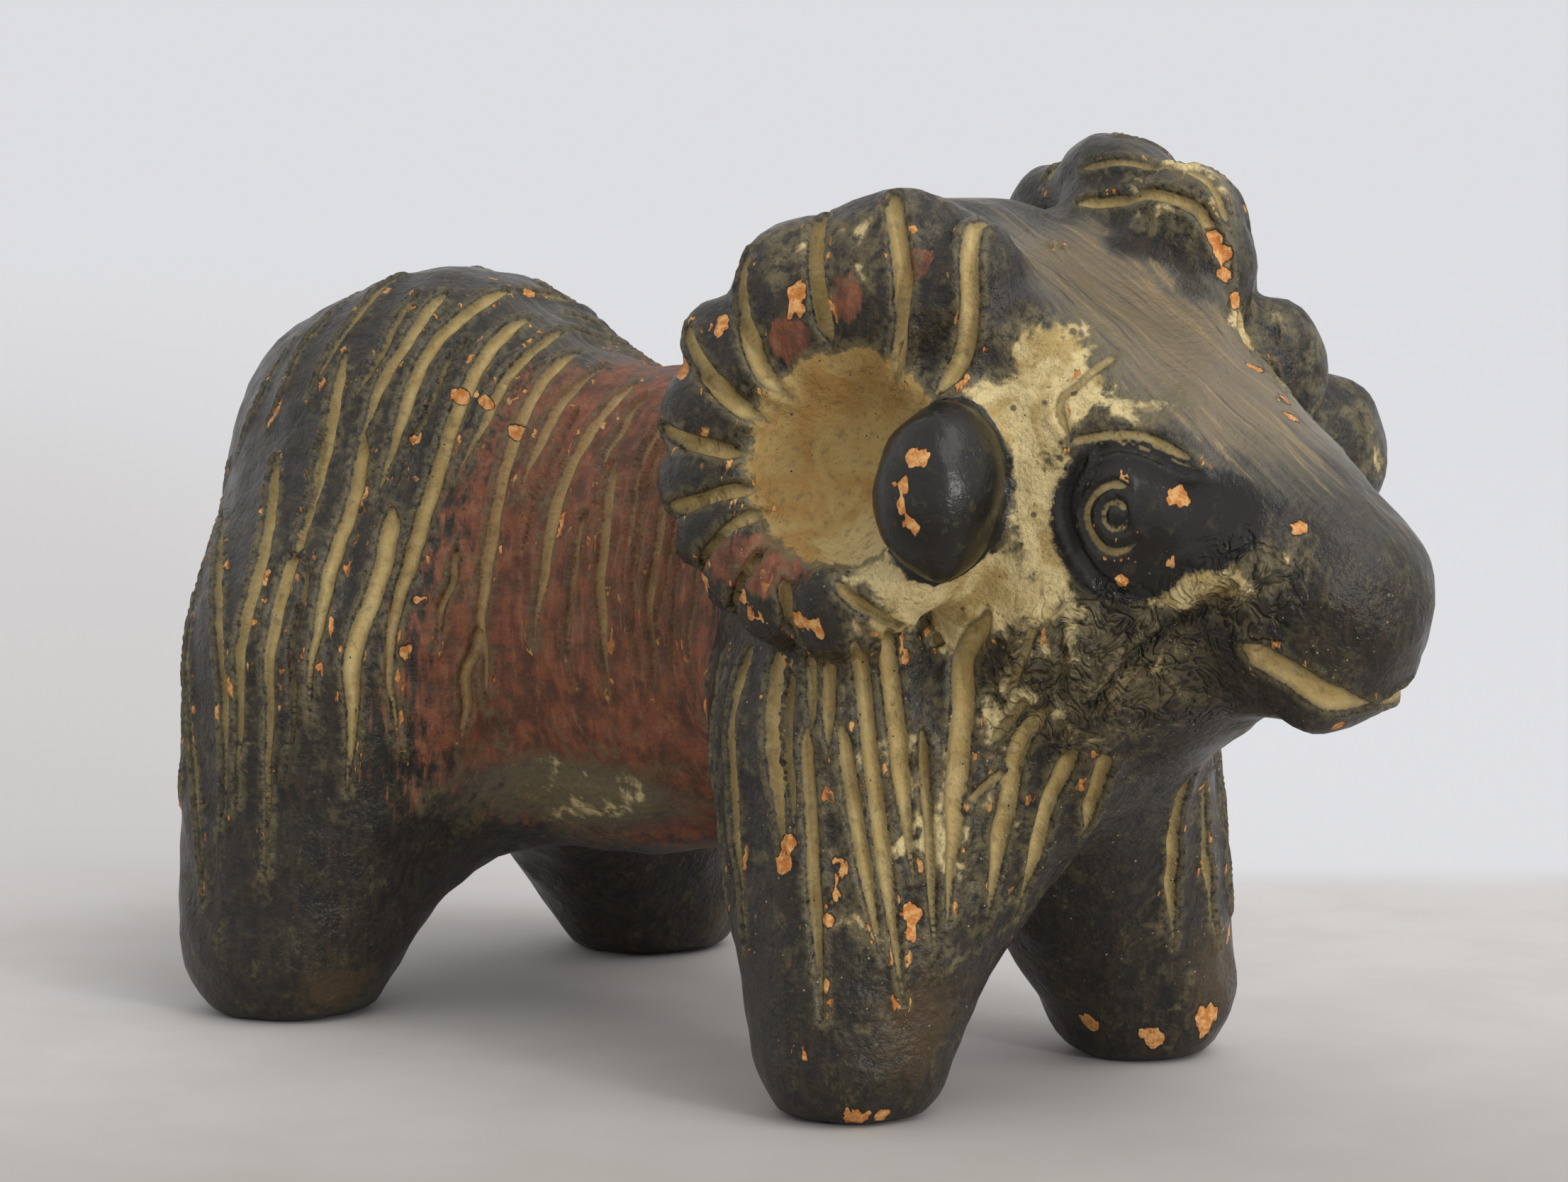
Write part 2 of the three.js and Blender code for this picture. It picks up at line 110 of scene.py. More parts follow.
def ease(low: float, high: float, value: np.ndarray) -> np.ndarray:
    """A smooth step from 0 at the low limit to 1 at the high one, which may lie below it."""
    share = np.clip((value - low) / (high - low), 0, 1)
    return share * share * (3 - 2 * share)


def window(value: np.ndarray, rise: Rise, fall: Rise) -> np.ndarray:
    """A smooth step up between two limits, and down again between two others."""
    return ease(*rise, value) * ease(*fall, value)


def to_right_side(points: np.ndarray) -> np.ndarray:
    """Folds both sides of the animal onto its right side.

    Args:
        points: Places, one a row.

    Returns:
        The same places with y made negative.
    """
    folded = points.copy()
    folded[:, 1] = -np.abs(folded[:, 1])
    return folded


@dataclass(frozen=True)
class Egg:
    """An egg of clay, by its middle, its half sizes and how far its nose tips down."""

    at: Point
    half: Point
    tilt: float = 0.0

    def field(self, points: np.ndarray) -> np.ndarray:
        """The distance to the egg.

        Args:
            points: Places, one a row.

        Returns:
            The distance at each place.
        """
        half = np.array(self.half)
        cosine = math.cos(math.radians(self.tilt))
        sine = math.sin(math.radians(self.tilt))
        turn = np.array(((cosine, 0, -sine), (0, 1, 0), (sine, 0, cosine)))
        scaled = ((points - self.at) @ turn.T) / half
        reach = np.linalg.norm(scaled, axis=1)
        steepness = np.linalg.norm(scaled / half, axis=1)
        return reach * (reach - 1) / np.maximum(steepness, 1e-9)


@dataclass(frozen=True)
class Roll:
    """A tapered roll of clay with round ends, by its ends and its radius at each."""

    start: Point
    end: Point
    radii: tuple[float, float]
    breadth: float = 1.0

    def field(self, points: np.ndarray) -> np.ndarray:
        """The distance to the roll.

        Args:
            points: Places, one a row.

        Returns:
            The distance at each place.
        """
        axis = np.subtract(self.end, self.start)
        length = float(np.linalg.norm(axis))
        reach = (points - self.start) / (1, self.breadth, 1)
        along = reach @ (axis / length)
        across = np.sqrt(np.maximum((reach * reach).sum(1) - along * along, 0))
        taper = (self.radii[0] - self.radii[1]) / length
        share = np.clip((along - across * taper / math.sqrt(1 - taper * taper)) / length, 0, 1)
        radius = self.radii[0] + (self.radii[1] - self.radii[0]) * share
        return np.hypot(across, along - share * length) - radius


@dataclass(frozen=True)
class Lump:
    """An egg or a roll that is pressed onto the clay before it, with the width of its seam.
    A paired one is given for the right side."""

    shape: Egg | Roll
    seam: float = 0.0
    paired: bool = False


def pile(lumps: Sequence[Lump], points: np.ndarray) -> np.ndarray:
    """Presses lumps together, each onto the ones before it.

    Args:
        lumps: The lumps.
        points: Places, one a row.

    Returns:
        The distance to the pile at each place.
    """
    folded = to_right_side(points)
    clay = lumps[0].shape.field(points)
    for lump in lumps[1:]:
        clay = press(clay, lump.shape.field(folded if lump.paired else points), lump.seam)
    return clay


@dataclass(frozen=True)
class HornRib:
    """A groove across the rolled horn, from its outer to its inner end."""

    outer_turn: float
    outer_radius: float
    inner_turn: float
    inner_radius: float
    width: float


@dataclass(frozen=True)
class Horn:
    """The rolled horn on the right of the level head, which the left one mirrors."""

    centre: Point = (32.2, -17.2, 51.5)
    lean: float = 17.0
    toe: float = 13.0
    start: float = 78.0
    end: float = 300.0
    radius: tuple[float, float] = (12.5, 11.1)
    band: tuple[float, float] = (7.5, 3.9)
    flatness: tuple[float, float] = (1.6, 1.2)
    plug_half: float = 12.5
    plug_thick: float = 4.5
    plug_sunk: float = 1.5
    left_growth: float = 3.2
    left_start: float = -22.0
    dish_at: Point = (-0.3, -1.5, 4.2)
    dish_half: Point = (8.0, 7.6, 6.2)
    scallop: float = 1.4
    least_turn: float = 8.0
    caution: float = 0.8
    plug_seam: float = 2.0
    ribs: tuple[HornRib, ...] = (
        HornRib(67, 19.5, 30, 7.7, 1.6),
        HornRib(86, 18.8, 53, 5.2, 1.6),
        HornRib(106, 17.9, 105, 7.4, 1.6),
        HornRib(127, 17.2, 151, 6.3, 1.6),
        HornRib(152, 17.0, 170, 7.2, 1.6),
        HornRib(179, 16.4, 189, 8.3, 1.4),
        HornRib(202, 15.8, 207, 8.1, 1.4),
        HornRib(221, 15.4, 220, 8.3, 1.3),
        HornRib(237, 15.3, 237, 9.9, 1.2),
        HornRib(260, 15.0, 253, 11.0, 1.2),
        HornRib(293, 14.6, 277, 10.5, 1.2),
    )

    def axes(self) -> np.ndarray:
        """The horn's own axes.

        Returns:
            The axes, one a row: forward, up the horn's face, and out of it.
        """
        lean = math.radians(self.lean)
        toe = math.radians(self.toe)
        forward = np.array((math.cos(toe), math.sin(toe), 0))
        out = np.array(
            (
                math.sin(toe) * math.cos(lean),
                -math.cos(toe) * math.cos(lean),
                math.sin(lean),
            )
        )
        return np.stack((forward, -np.cross(forward, out), out))

    def along_axes(self, points: np.ndarray) -> np.ndarray:
        """Places on the right of the level head, measured along the horn's own axes."""
        return (points - self.centre) @ self.axes().T

    def from_axes(self, places: np.ndarray) -> np.ndarray:
        """The inverse of along_axes."""
        return places @ self.axes() + self.centre

    def round_band(self, turn: np.ndarray, left: np.ndarray | float) -> np.ndarray:
        """How far round the band an angle lies, from 0 at its start to 1 at its end."""
        start = self.start + self.left_start * left
        return np.clip((turn - start) / (self.end - start), 0, 1)

    def pillow(self, turn: np.ndarray) -> np.ndarray:
        """How full the band is.

        Args:
            turn: Angles round the band, in degrees.

        Returns:
            0 at a rib's groove and 1 midway between two.
        """
        grooves = np.array([(rib.outer_turn + rib.inner_turn) / 2 for rib in self.ribs])
        count = np.interp(turn, grooves, np.arange(len(grooves)))
        return np.abs(np.sin(math.pi * count))

    def field(self, places: np.ndarray, left: np.ndarray) -> np.ndarray:
        """The distance to the band of the horn with the plug in its middle.

        Args:
            places: Places along the horn's own axes, one a row.
            left: 0 at places on the right horn and 1 on the left one.

        Returns:
            The distance at each place.
        """
        turn = np.degrees(np.arctan2(places[:, 1], places[:, 0])) % 360
        turn = np.where(turn < self.least_turn, turn + 360, turn)
        share = self.round_band(turn, left)
        angle = np.radians(np.clip(turn, self.start + self.left_start * left, self.end))
        radius = self.radius[0] + (self.radius[1] - self.radius[0]) * share
        radius = radius + self.left_growth * left * (1 - share)
        flatness = self.flatness[0] + (self.flatness[1] - self.flatness[0]) * share
        across = (places[:, 0] - radius * np.cos(angle)) ** 2
        across += (places[:, 1] - radius * np.sin(angle)) ** 2
        ring = np.sqrt(across + (places[:, 2] * flatness) ** 2)
        half = self.band[0] + (self.band[1] - self.band[0]) * share
        half = half - self.scallop * (1 - self.pillow(turn))
        plug = (places + (0, 0, self.plug_sunk)) / (self.plug_half, self.plug_half, self.plug_thick)
        plug_field = (np.linalg.norm(plug, axis=1) - 1) * self.plug_thick
        return press((ring - half) * self.caution, plug_field, self.plug_seam)

    def dish(self, places: np.ndarray) -> np.ndarray:
        """The distance to the hollow that is scooped out of the horn's face."""
        share = (places - self.dish_at) / self.dish_half
        return (np.linalg.norm(share, axis=1) - 1) * self.dish_half[2]


@dataclass(frozen=True)
class Boss:
    """The egg of clay that closes the roll of a horn, along the horn's own axes."""

    at: Point
    half: Point

    def field(self, points: np.ndarray, axes: np.ndarray) -> np.ndarray:
        """The distance to the boss, on the right of the level head."""
        share = ((points - self.at) @ axes.T) / self.half
        return (np.linalg.norm(share, axis=1) - 1) * self.half[0]


@dataclass(frozen=True)
class Head:
    """The head, level: skull, muzzle and jaw, the flat bridge, and a horn on each side."""

    skull: Lump = Lump(Egg((31, 0, 52), (15, 14, 18)))
    muzzle: Lump = Lump(Roll((42, 0, 50), (62.5, 0, 40.8), (13.2, 8.0)), 6.0)
    jaw: Lump = Lump(Roll((48, 0, 38), (62.5, 0, 36.5), (7, 4.5), breadth=1.15), 3.0)
    lip: Lump = Lump(Roll((63.5, -2.5, 34.6), (63.5, 2.5, 34.6), (3.1, 3.0)), 1.5)
    eye: Lump = Lump(Egg((51.7, -9.1, 46.7), (4.7, 3.1, 4.6)), 1.5, paired=True)
    bridge_through: Point = (44, 0, 61)
    bridge_slope: float = 26.6
    bridge_rounding: float = 3.0
    horn: Horn = Horn()
    horn_seam: float = 1.2
    forehead_seam: float = 7.0
    forehead_ahead: Rise = (-4.0, 8.0)
    forehead_up: Rise = (2.0, 14.0)
    left_blend: Rise = (-2.0, 2.0)
    dish_rounding: float = 1.5
    left_root: Egg = Egg((44.6, 15.4, 54.8), (4.2, 4.4, 5.6))
    left_root_seam: float = 1.5
    right_boss: Boss = Boss((41.6, -18.6, 49.3), (4.6, 6.6, 5.2))
    left_boss: Boss = Boss((43.0, -21.8, 47.5), (4.6, 6.6, 6.5))
    boss_seam: float = 0.6
    pivot: Point = (34, 0, 40)
    roll: float = 2.0

    def above(self) -> np.ndarray:
        """The direction in which the bridge of the nose faces."""
        slope = math.radians(self.bridge_slope)
        return np.array((math.sin(slope), 0, math.cos(slope)))

    def turn(self) -> np.ndarray:
        """The head's roll to its right, which turns the level head to the real one.

        Returns:
            The turn as a matrix.
        """
        cosine = math.cos(math.radians(self.roll))
        sine = math.sin(math.radians(self.roll))
        return np.array(((1, 0, 0), (0, cosine, -sine), (0, sine, cosine)))

    def level(self, points: np.ndarray) -> np.ndarray:
        """Carries places on the real head to the level one."""
        return (points - self.pivot) @ self.turn() + self.pivot

    def place(self, points: np.ndarray, side: Side) -> np.ndarray:
        """Carries places on the right of the level head to either side of the real one."""
        mirrored = points * (1, -side.value, 1)
        return (mirrored - self.pivot) @ self.turn().T + self.pivot

    def bosses(self, points: np.ndarray) -> np.ndarray:
        """The distance to the nearer boss.

        Args:
            points: Places on the level head, one a row.

        Returns:
            The distance at each place.
        """
        folded = to_right_side(points)
        axes = self.horn.axes()
        right = self.right_boss.field(folded, axes)
        left = self.left_boss.field(folded, axes)
        return np.where(points[:, 1] > 0, left, right)

    def field(self, points: np.ndarray) -> np.ndarray:
        """The distance to the level head.

        Args:
            points: Places, one a row.

        Returns:
            The distance at each place.
        """
        clay = pile((self.skull, self.muzzle, self.jaw, self.lip, self.eye), points)
        clay = trim(clay, (points - self.bridge_through) @ self.above(), self.bridge_rounding)
        places = self.horn.along_axes(to_right_side(points))
        left = ease(*self.left_blend, points[:, 1])
        forehead = ease(*self.forehead_ahead, places[:, 0]) * ease(*self.forehead_up, places[:, 1])
        seam = self.horn_seam + self.forehead_seam * forehead
        clay = press(clay, self.horn.field(places, left), seam)
        clay = trim(clay, -self.horn.dish(places), self.dish_rounding)
        clay = press(clay, self.left_root.field(points), self.left_root_seam)
        return press(clay, self.bosses(points), self.boss_seam)


@dataclass(frozen=True)
class Ram:
    """The whole figure before anything is cut into it."""

    head: Head = Head()
    rump: Lump = Lump(Egg((-32, 0, 37), (20.5, 19, 23)))
    tail: Lump = Lump(Egg((-46.8, 0, 41.5), (8.6, 9, 13.5)), 6.0)
    belly: Lump = Lump(Egg((-7, 0, 33.3), (30, 14.5, 19.6), tilt=-12), 10.0)
    withers: Lump = Lump(Egg((20, 0, 38), (18, 13, 18)), 8.0)
    nape: Lump = Lump(Egg((19, 0, 51), (11, 15.5, 15.5)), 6.0)
    hind_leg: Lump = Lump(Roll((-29.5, -12.5, 27), (-30.5, -20.3, 6.5), (15.2, 9.0)), 8.0, True)
    shoulder: Lump = Lump(Egg((23.5, -7, 34), (15, 10.5, 13)), 5.0, True)
    brisket: Lump = Lump(Roll((42.5, 0, 40), (36, 0, 31), (14.5, 9.5)), 5.0)
    fore_leg: Lump = Lump(Roll((26.5, -11, 27), (30.2, -16.4, 5.8), (12, 7.7)), 5.0, True)
    chest_lobe: Lump = Lump(Roll((35, -4, 28), (30.5, -12, 13.5), (9.3, 6.8)), 5.0, True)
    neck_seam: float = 3.0
    sole_rounding: float = 0.9
    unevenness: float = 0.16

    def hand(self, points: np.ndarray) -> np.ndarray:
        """The unevenness that fingers leave in the clay.

        Args:
            points: Places, one a row.

        Returns:
            How much it takes off at each place.
        """
        x, y, z = points.T
        broad = np.sin(0.61 * x + 0.37 * z + 1.0) * np.sin(0.66 * y - 0.42 * z + 0.3 * x)
        close = np.sin(1.13 * x - 0.86 * y + 2.0) * np.sin(1.21 * z + 0.71 * y + 0.5 * x)
        return self.unevenness * (broad + 0.5 * close)

    def field(self, points: np.ndarray) -> np.ndarray:
        """The distance to the figure.

        Args:
            points: Places, one a row.

        Returns:
            The distance at each place, negative inside the clay.
        """
        back = (self.rump, self.tail, self.belly, self.withers, self.nape, self.hind_leg)
        front = (self.shoulder, self.brisket, self.fore_leg, self.chest_lobe)
        clay = pile(back + front, points)
        clay = press(clay, self.head.field(self.head.level(points)), self.neck_seam)
        return trim(clay + self.hand(points), -points[:, 2], self.sole_rounding)

    def facing(self, points: np.ndarray) -> np.ndarray:
        """The direction in which the clay's surface faces.

        Args:
            points: Places, one a row.

        Returns:
            A direction of length one for each place.
        """
        step = 0.05
        rise = np.empty_like(points)
        for axis in range(3):
            shift = np.zeros(3)
            shift[axis] = step
            rise[:, axis] = self.field(points + shift) - self.field(points - shift)
        return rise / np.maximum(np.linalg.norm(rise, axis=1, keepdims=True), 1e-9)

    def settle(self, points: np.ndarray, passes: int = 3, pace: float = 0.9) -> np.ndarray:
        """Slides places that are near the surface onto it.

        Args:
            points: Places, one a row.
            passes: How often they are slid.
            pace: What share of the distance, up to a millimetre, each pass takes.

        Returns:
            The settled places.
        """
        settled = points.copy()
        for _ in range(passes):
            gap = np.clip(self.field(settled), -1.0, 1.0)
            settled -= self.facing(settled) * (gap * pace)[:, None]
        return settled

    def touch(
        self, start: np.ndarray, direction: np.ndarray, passes: int = 60, pace: float = 0.8
    ) -> np.ndarray:
        """Where straight paths first meet the clay.

        Args:
            start: Where each path starts, one a row.
            direction: Each path's direction, of length one.
            passes: In how many steps the paths are followed.
            pace: What share of the distance to the clay each step takes.

        Returns:
            The meeting places, one a row.
        """
        places = start.copy()
        for _ in range(passes):
            places = places + direction * (self.field(places) * pace)[:, None]
        return places


@dataclass
class ClaySkin:
    """Draws the closed surface of a field as triangles on an even grid."""

    field_of: Field
    low: Point
    high: Point
    cell: float
    filled: float = -1e-3

    def draw(self) -> tuple[np.ndarray, np.ndarray]:
        """Draws the skin.

        Returns:
            The places of the vertices, and the triangles as rows of three indices.
        """
        depth = self.sample()
        self.close_pinches(depth)
        points, index = self.vertices(depth)
        return points, self.triangles(depth, points, index)

    def sample(self) -> np.ndarray:
        """Samples the field.

        Returns:
            The field at every corner of the grid.
        """
        planes = [np.arange(a, b, self.cell) for a, b in zip(self.low, self.high)]
        depth = np.empty([len(plane) for plane in planes])
        side = np.stack(np.meshgrid(planes[1], planes[2], indexing="ij"), -1).reshape(-1, 2)
        for i, x in enumerate(planes[0]):
            points = np.column_stack((np.full(len(side), x), side))
            depth[i] = self.field_of(points).reshape(depth.shape[1:])
        return depth

    @staticmethod
    def face_corner(grid: np.ndarray, axes: tuple[int, int], steps: tuple[int, int]) -> np.ndarray:
        """Looks at one corner of every grid face that lies along two axes.

        Args:
            grid: The values at the grid's corners.
            axes: The two axes.
            steps: Which corner it is, as a step of 0 or 1 along each.

        Returns:
            A view of the grid.
        """
        index = [slice(None)] * 3
        for axis, step in zip(axes, steps):
            index[axis] = slice(step, grid.shape[axis] - 1 + step)
        return grid[tuple(index)]

    def close_pinches(self, depth: np.ndarray) -> None:
        """Fills one more corner of each face where clay meets clay only at a diagonal.

        Args:
            depth: The field at the grid's corners, which is changed.
        """
        pinched = True
        while pinched:
            pinched = False
            for axes in ((0, 1), (1, 2), (2, 0)):
                ring = [self.face_corner(depth, axes, at) for at in ((0, 0), (1, 0), (1, 1), (0, 1))]
                a, b, c, d = [corner < 0 for corner in ring]
                diagonal = (a == c) & (b == d) & (a != b)
                if diagonal.any():
                    pinched = True
                    ring[1][diagonal & a] = self.filled
                    ring[0][diagonal & ~a] = self.filled

    def vertices(self, depth: np.ndarray) -> tuple[np.ndarray, np.ndarray]:
        """One vertex in each grid cell that the surface passes through.

        Args:
            depth: The field at the grid's corners.

        Returns:
            The places of the vertices, and each cell's vertex or -1.
        """
        inside = depth < 0
        cells = [n - 1 for n in depth.shape]
        count = np.zeros(cells, int)
        for offset in product((0, 1), repeat=3):
            count += inside[tuple(slice(o, o + n) for o, n in zip(offset, cells))]
        active = (count > 0) & (count < 8)
        index = np.full(cells, -1)
        index[active] = np.arange(active.sum())
        corner = np.stack(np.nonzero(active), 1)
        total = np.zeros((len(corner), 3))
        crossings = np.zeros(len(corner))
        for axis, u, v in product(range(3), (0, 1), (0, 1)):
            start = np.zeros(3, int)
            start[(axis + 1) % 3] = u
            start[(axis + 2) % 3] = v
            end = start.copy()
            end[axis] = 1
            near = depth[tuple((corner + start).T)]
            far = depth[tuple((corner + end).T)]
            crossed = (near < 0) != (far < 0)
            share = np.where(crossed, near / np.where(crossed, near - far, 1), 0)
            place = corner + start + share[:, None] * (end - start)
            total += place * crossed[:, None]
            crossings += crossed
        return self.low + self.cell * total / crossings[:, None], index

    @staticmethod
    def triangles(depth: np.ndarray, points: np.ndarray, index: np.ndarray) -> np.ndarray:
        """Two triangles across each grid edge that the surface crosses.

        Args:
            depth: The field at the grid's corners.
            points: The places of the vertices.
            index: Each cell's vertex.

        Returns:
            The triangles as rows of three indices, facing out of the clay.
        """
        inside = depth < 0
        found = []
        for axis in range(3):
            here = [slice(1, n - 1) for n in depth.shape]
            there = list(here)
            there[axis] = slice(2, depth.shape[axis])
            crossed = inside[tuple(here)] != inside[tuple(there)]
            corner = np.stack(np.nonzero(crossed), 1) + 1
            u = np.eye(3, dtype=int)[(axis + 1) % 3]
            v = np.eye(3, dtype=int)[(axis + 2) % 3]
            ring = [index[tuple((corner - back).T)] for back in (0 * u, u, u + v, v)]
            quads = np.stack(ring, 1)
            outside = ~inside[tuple(corner.T)]
            quads[outside] = quads[outside, ::-1]
            found.append(quads)
        quads = np.concatenate(found)
        first = np.linalg.norm(points[quads[:, 0]] - points[quads[:, 2]], axis=1)
        second = np.linalg.norm(points[quads[:, 1]] - points[quads[:, 3]], axis=1)
        quads[first > second] = np.roll(quads[first > second], -1, axis=1)
        return np.concatenate((quads[:, [0, 1, 2]], quads[:, [0, 2, 3]]))


def split_edges(
    points: np.ndarray, triangles: np.ndarray, wanted: Callable[[np.ndarray], np.ndarray]
) -> tuple[np.ndarray, np.ndarray]:
    """Halves every edge whose middle is wanted, and keeps the mesh closed.

    Args:
        points: The places of the vertices.
        triangles: The triangles as rows of three indices.
        wanted: Says of places and edge lengths, as rows of four, which edges to halve.

    Returns:
        The places and the triangles after the split.
    """
    ends = np.sort(triangles[:, [[0, 1], [1, 2], [2, 0]]].reshape(-1, 2), axis=1)
    keys = ends[:, 0] * len(points) + ends[:, 1]
    unique, first, inverse = np.unique(keys, return_index=True, return_inverse=True)
    a, b = points[ends[first, 0]], points[ends[first, 1]]
    middle = (a + b) / 2
    halved = wanted(np.column_stack((middle, np.linalg.norm(a - b, axis=1))))
    added = np.where(halved, len(points) + np.cumsum(halved) - 1, -1)
    mids = added[inverse].reshape(-1, 3)
    corners = triangles.copy()
    cut = mids >= 0
    number = cut.sum(1)
    # A triangle with one cut edge is turned so that this edge comes first, and one with two
    # cut edges so that its whole edge comes last.
    turn = np.where(number == 1, cut.argmax(1), np.where(number == 2, (~cut).argmax(1) + 1, 0)) % 3
    order = (np.arange(3) + turn[:, None]) % 3
    corners = np.take_along_axis(corners, order, 1)
    mids = np.take_along_axis(mids, order, 1)
    # Its corners are p, q and r, and its cuts m, n and o lie between p and q, q and r, r and p.
    p, q, r = corners.T
    m, n, o = mids.T
    one, two, three = number == 1, number == 2, number == 3
    pieces = [
        corners[number == 0],
        np.stack((p, m, r), 1)[one],
        np.stack((m, q, r), 1)[one],
        np.stack((m, q, n), 1)[two],
        np.stack((p, m, n), 1)[two],
        np.stack((p, n, r), 1)[two],
        np.stack((p, m, o), 1)[three],
        np.stack((m, q, n), 1)[three],
        np.stack((o, n, r), 1)[three],
        np.stack((m, n, o), 1)[three],
    ]
    return np.concatenate((points, middle[halved])), np.concatenate(pieces)


# The stylus.


@dataclass
class Stroke:
    """One stroke of the stylus, laid on the clay."""

    path: np.ndarray
    width: float
    depth: float
    fill: float = 1.0
    taper: float = 2.2
    top_width: float = 0.45
    top_taper: float = 9.0
    foot_width: float = 0.12

    def half_widths(self) -> np.ndarray:
        """Half the groove's width: blunt at its top, pointed at its foot.

        Returns:
            The half width at each place of the path.
        """
        share = np.linspace(0, 1, len(self.path))
        top = self.top_width + self.top_taper * share
        foot = self.foot_width + self.taper * (1 - share)
        return self.width / 2 * np.clip(np.minimum(top, foot), 0, 1)


def smooth_path(stops: Sequence[Point], spacing: float = 0.3) -> np.ndarray:
    """A smooth path through a few stops.

    Args:
        stops: The places that the path goes through.
        spacing: How far apart its places are, in millimetres.

    Returns:
        The path's places, one a row.
    """
    knots = np.array(stops, float)
    padded = np.vstack((2 * knots[0] - knots[1], knots, 2 * knots[-1] - knots[-2]))
    found = []
    for a, b, c, d in zip(padded, padded[1:], padded[2:], padded[3:]):
        count = max(2, round(float(np.linalg.norm(c - b)) / spacing))
        t = np.linspace(0, 1, count, endpoint=False)[:, None]
        bend = 2 * a - 5 * b + 4 * c - d
        found.append(b + 0.5 * t * (c - a + t * (bend + t * (3 * (b - c) + d - a))))
    return np.vstack((*found, knots[-1]))


@dataclass(frozen=True)
class FleeceStroke:
    """A stroke down the flank: its place along the body at its top, its middle and its
    foot, and the angles above level between which it swings about the body's middle."""

    top: float
    middle: float
    foot: float
    start: float
    end: float
    width: float
    fill: float = 1.0
    axis_height: float = 34.0
    depth: float = 0.7
    stops_a_degree: float = 1.1
    wobble: float = 0.15
    reach: float = 30.0

    def lay(self, ram: Ram, side: Side) -> Stroke:
        """Lays the stroke on one flank.

        Args:
            ram: The clay.
            side: Which flank it is.

        Returns:
            The stroke on the clay.
        """
        count = 8 + round(abs(self.start - self.end) * self.stops_a_degree)
        share = np.linspace(0, 1, count)
        angle = np.radians(self.start + (self.end - self.start) * share)
        bow = 4 * self.middle - 2 * (self.top + self.foot)
        x = self.top + (self.foot - self.top) * share + bow * share * (1 - share)
        x = x + self.wobble * np.sin(share * 11 + self.top)
        out = np.column_stack((0 * angle, side.value * np.cos(angle), np.sin(angle)))
        middle = np.column_stack((x, 0 * x, 0 * x + self.axis_height))
        path = ram.touch(middle + out * self.reach, -out)
        return Stroke(path, self.width, self.depth, self.fill)


@dataclass(frozen=True)
class UprightStroke:
    """An upright stroke on the chest, a foreleg or the rump: its turns round an upright
    axis inside the clay, from straight ahead, and its heights, at its top and foot."""

    top_turn: float
    foot_turn: float
    top: float
    foot: float
    width: float
    fill: float = 1.0
    axis: tuple[float, float] = (24.0, 8.0)
    depth: float = 0.7
    spacing: float = 0.35
    reach: float = 27.0

    def lay(self, ram: Ram, side: Side) -> Stroke:
        """Lays the stroke on one side of the chest or the rump.

        Args:
            ram: The clay.
            side: Which side it is.

        Returns:
            The stroke on the clay.
        """
        count = 6 + round((self.top - self.foot) / self.spacing)
        share = np.linspace(0, 1, count)
        turn = np.radians(self.top_turn + (self.foot_turn - self.top_turn) * share)
        height = self.top + (self.foot - self.top) * share
        out = np.column_stack((np.cos(turn), side.value * np.sin(turn), 0 * turn))
        x, y = self.axis
        middle = np.column_stack((0 * share + x, 0 * share + side.value * y, height))
        path = ram.touch(middle + out * self.reach, -out)
        return Stroke(path, self.width, self.depth, self.fill)


@dataclass(frozen=True)
class FaceLine:
    """A stroke on the face through a few stops near the clay, given for the right side."""

    stops: tuple[Point, ...]
    width: float
    depth: float
    fill: float = 1.0
    taper: float = 5.0

    def lay(self, ram: Ram, side: Side) -> Stroke:
        """Lays the line on one side of the face."""
        path = smooth_path(self.stops) * (1, -side.value, 1)
        return Stroke(ram.settle(path, 6), self.width, self.depth, self.fill, self.taper)


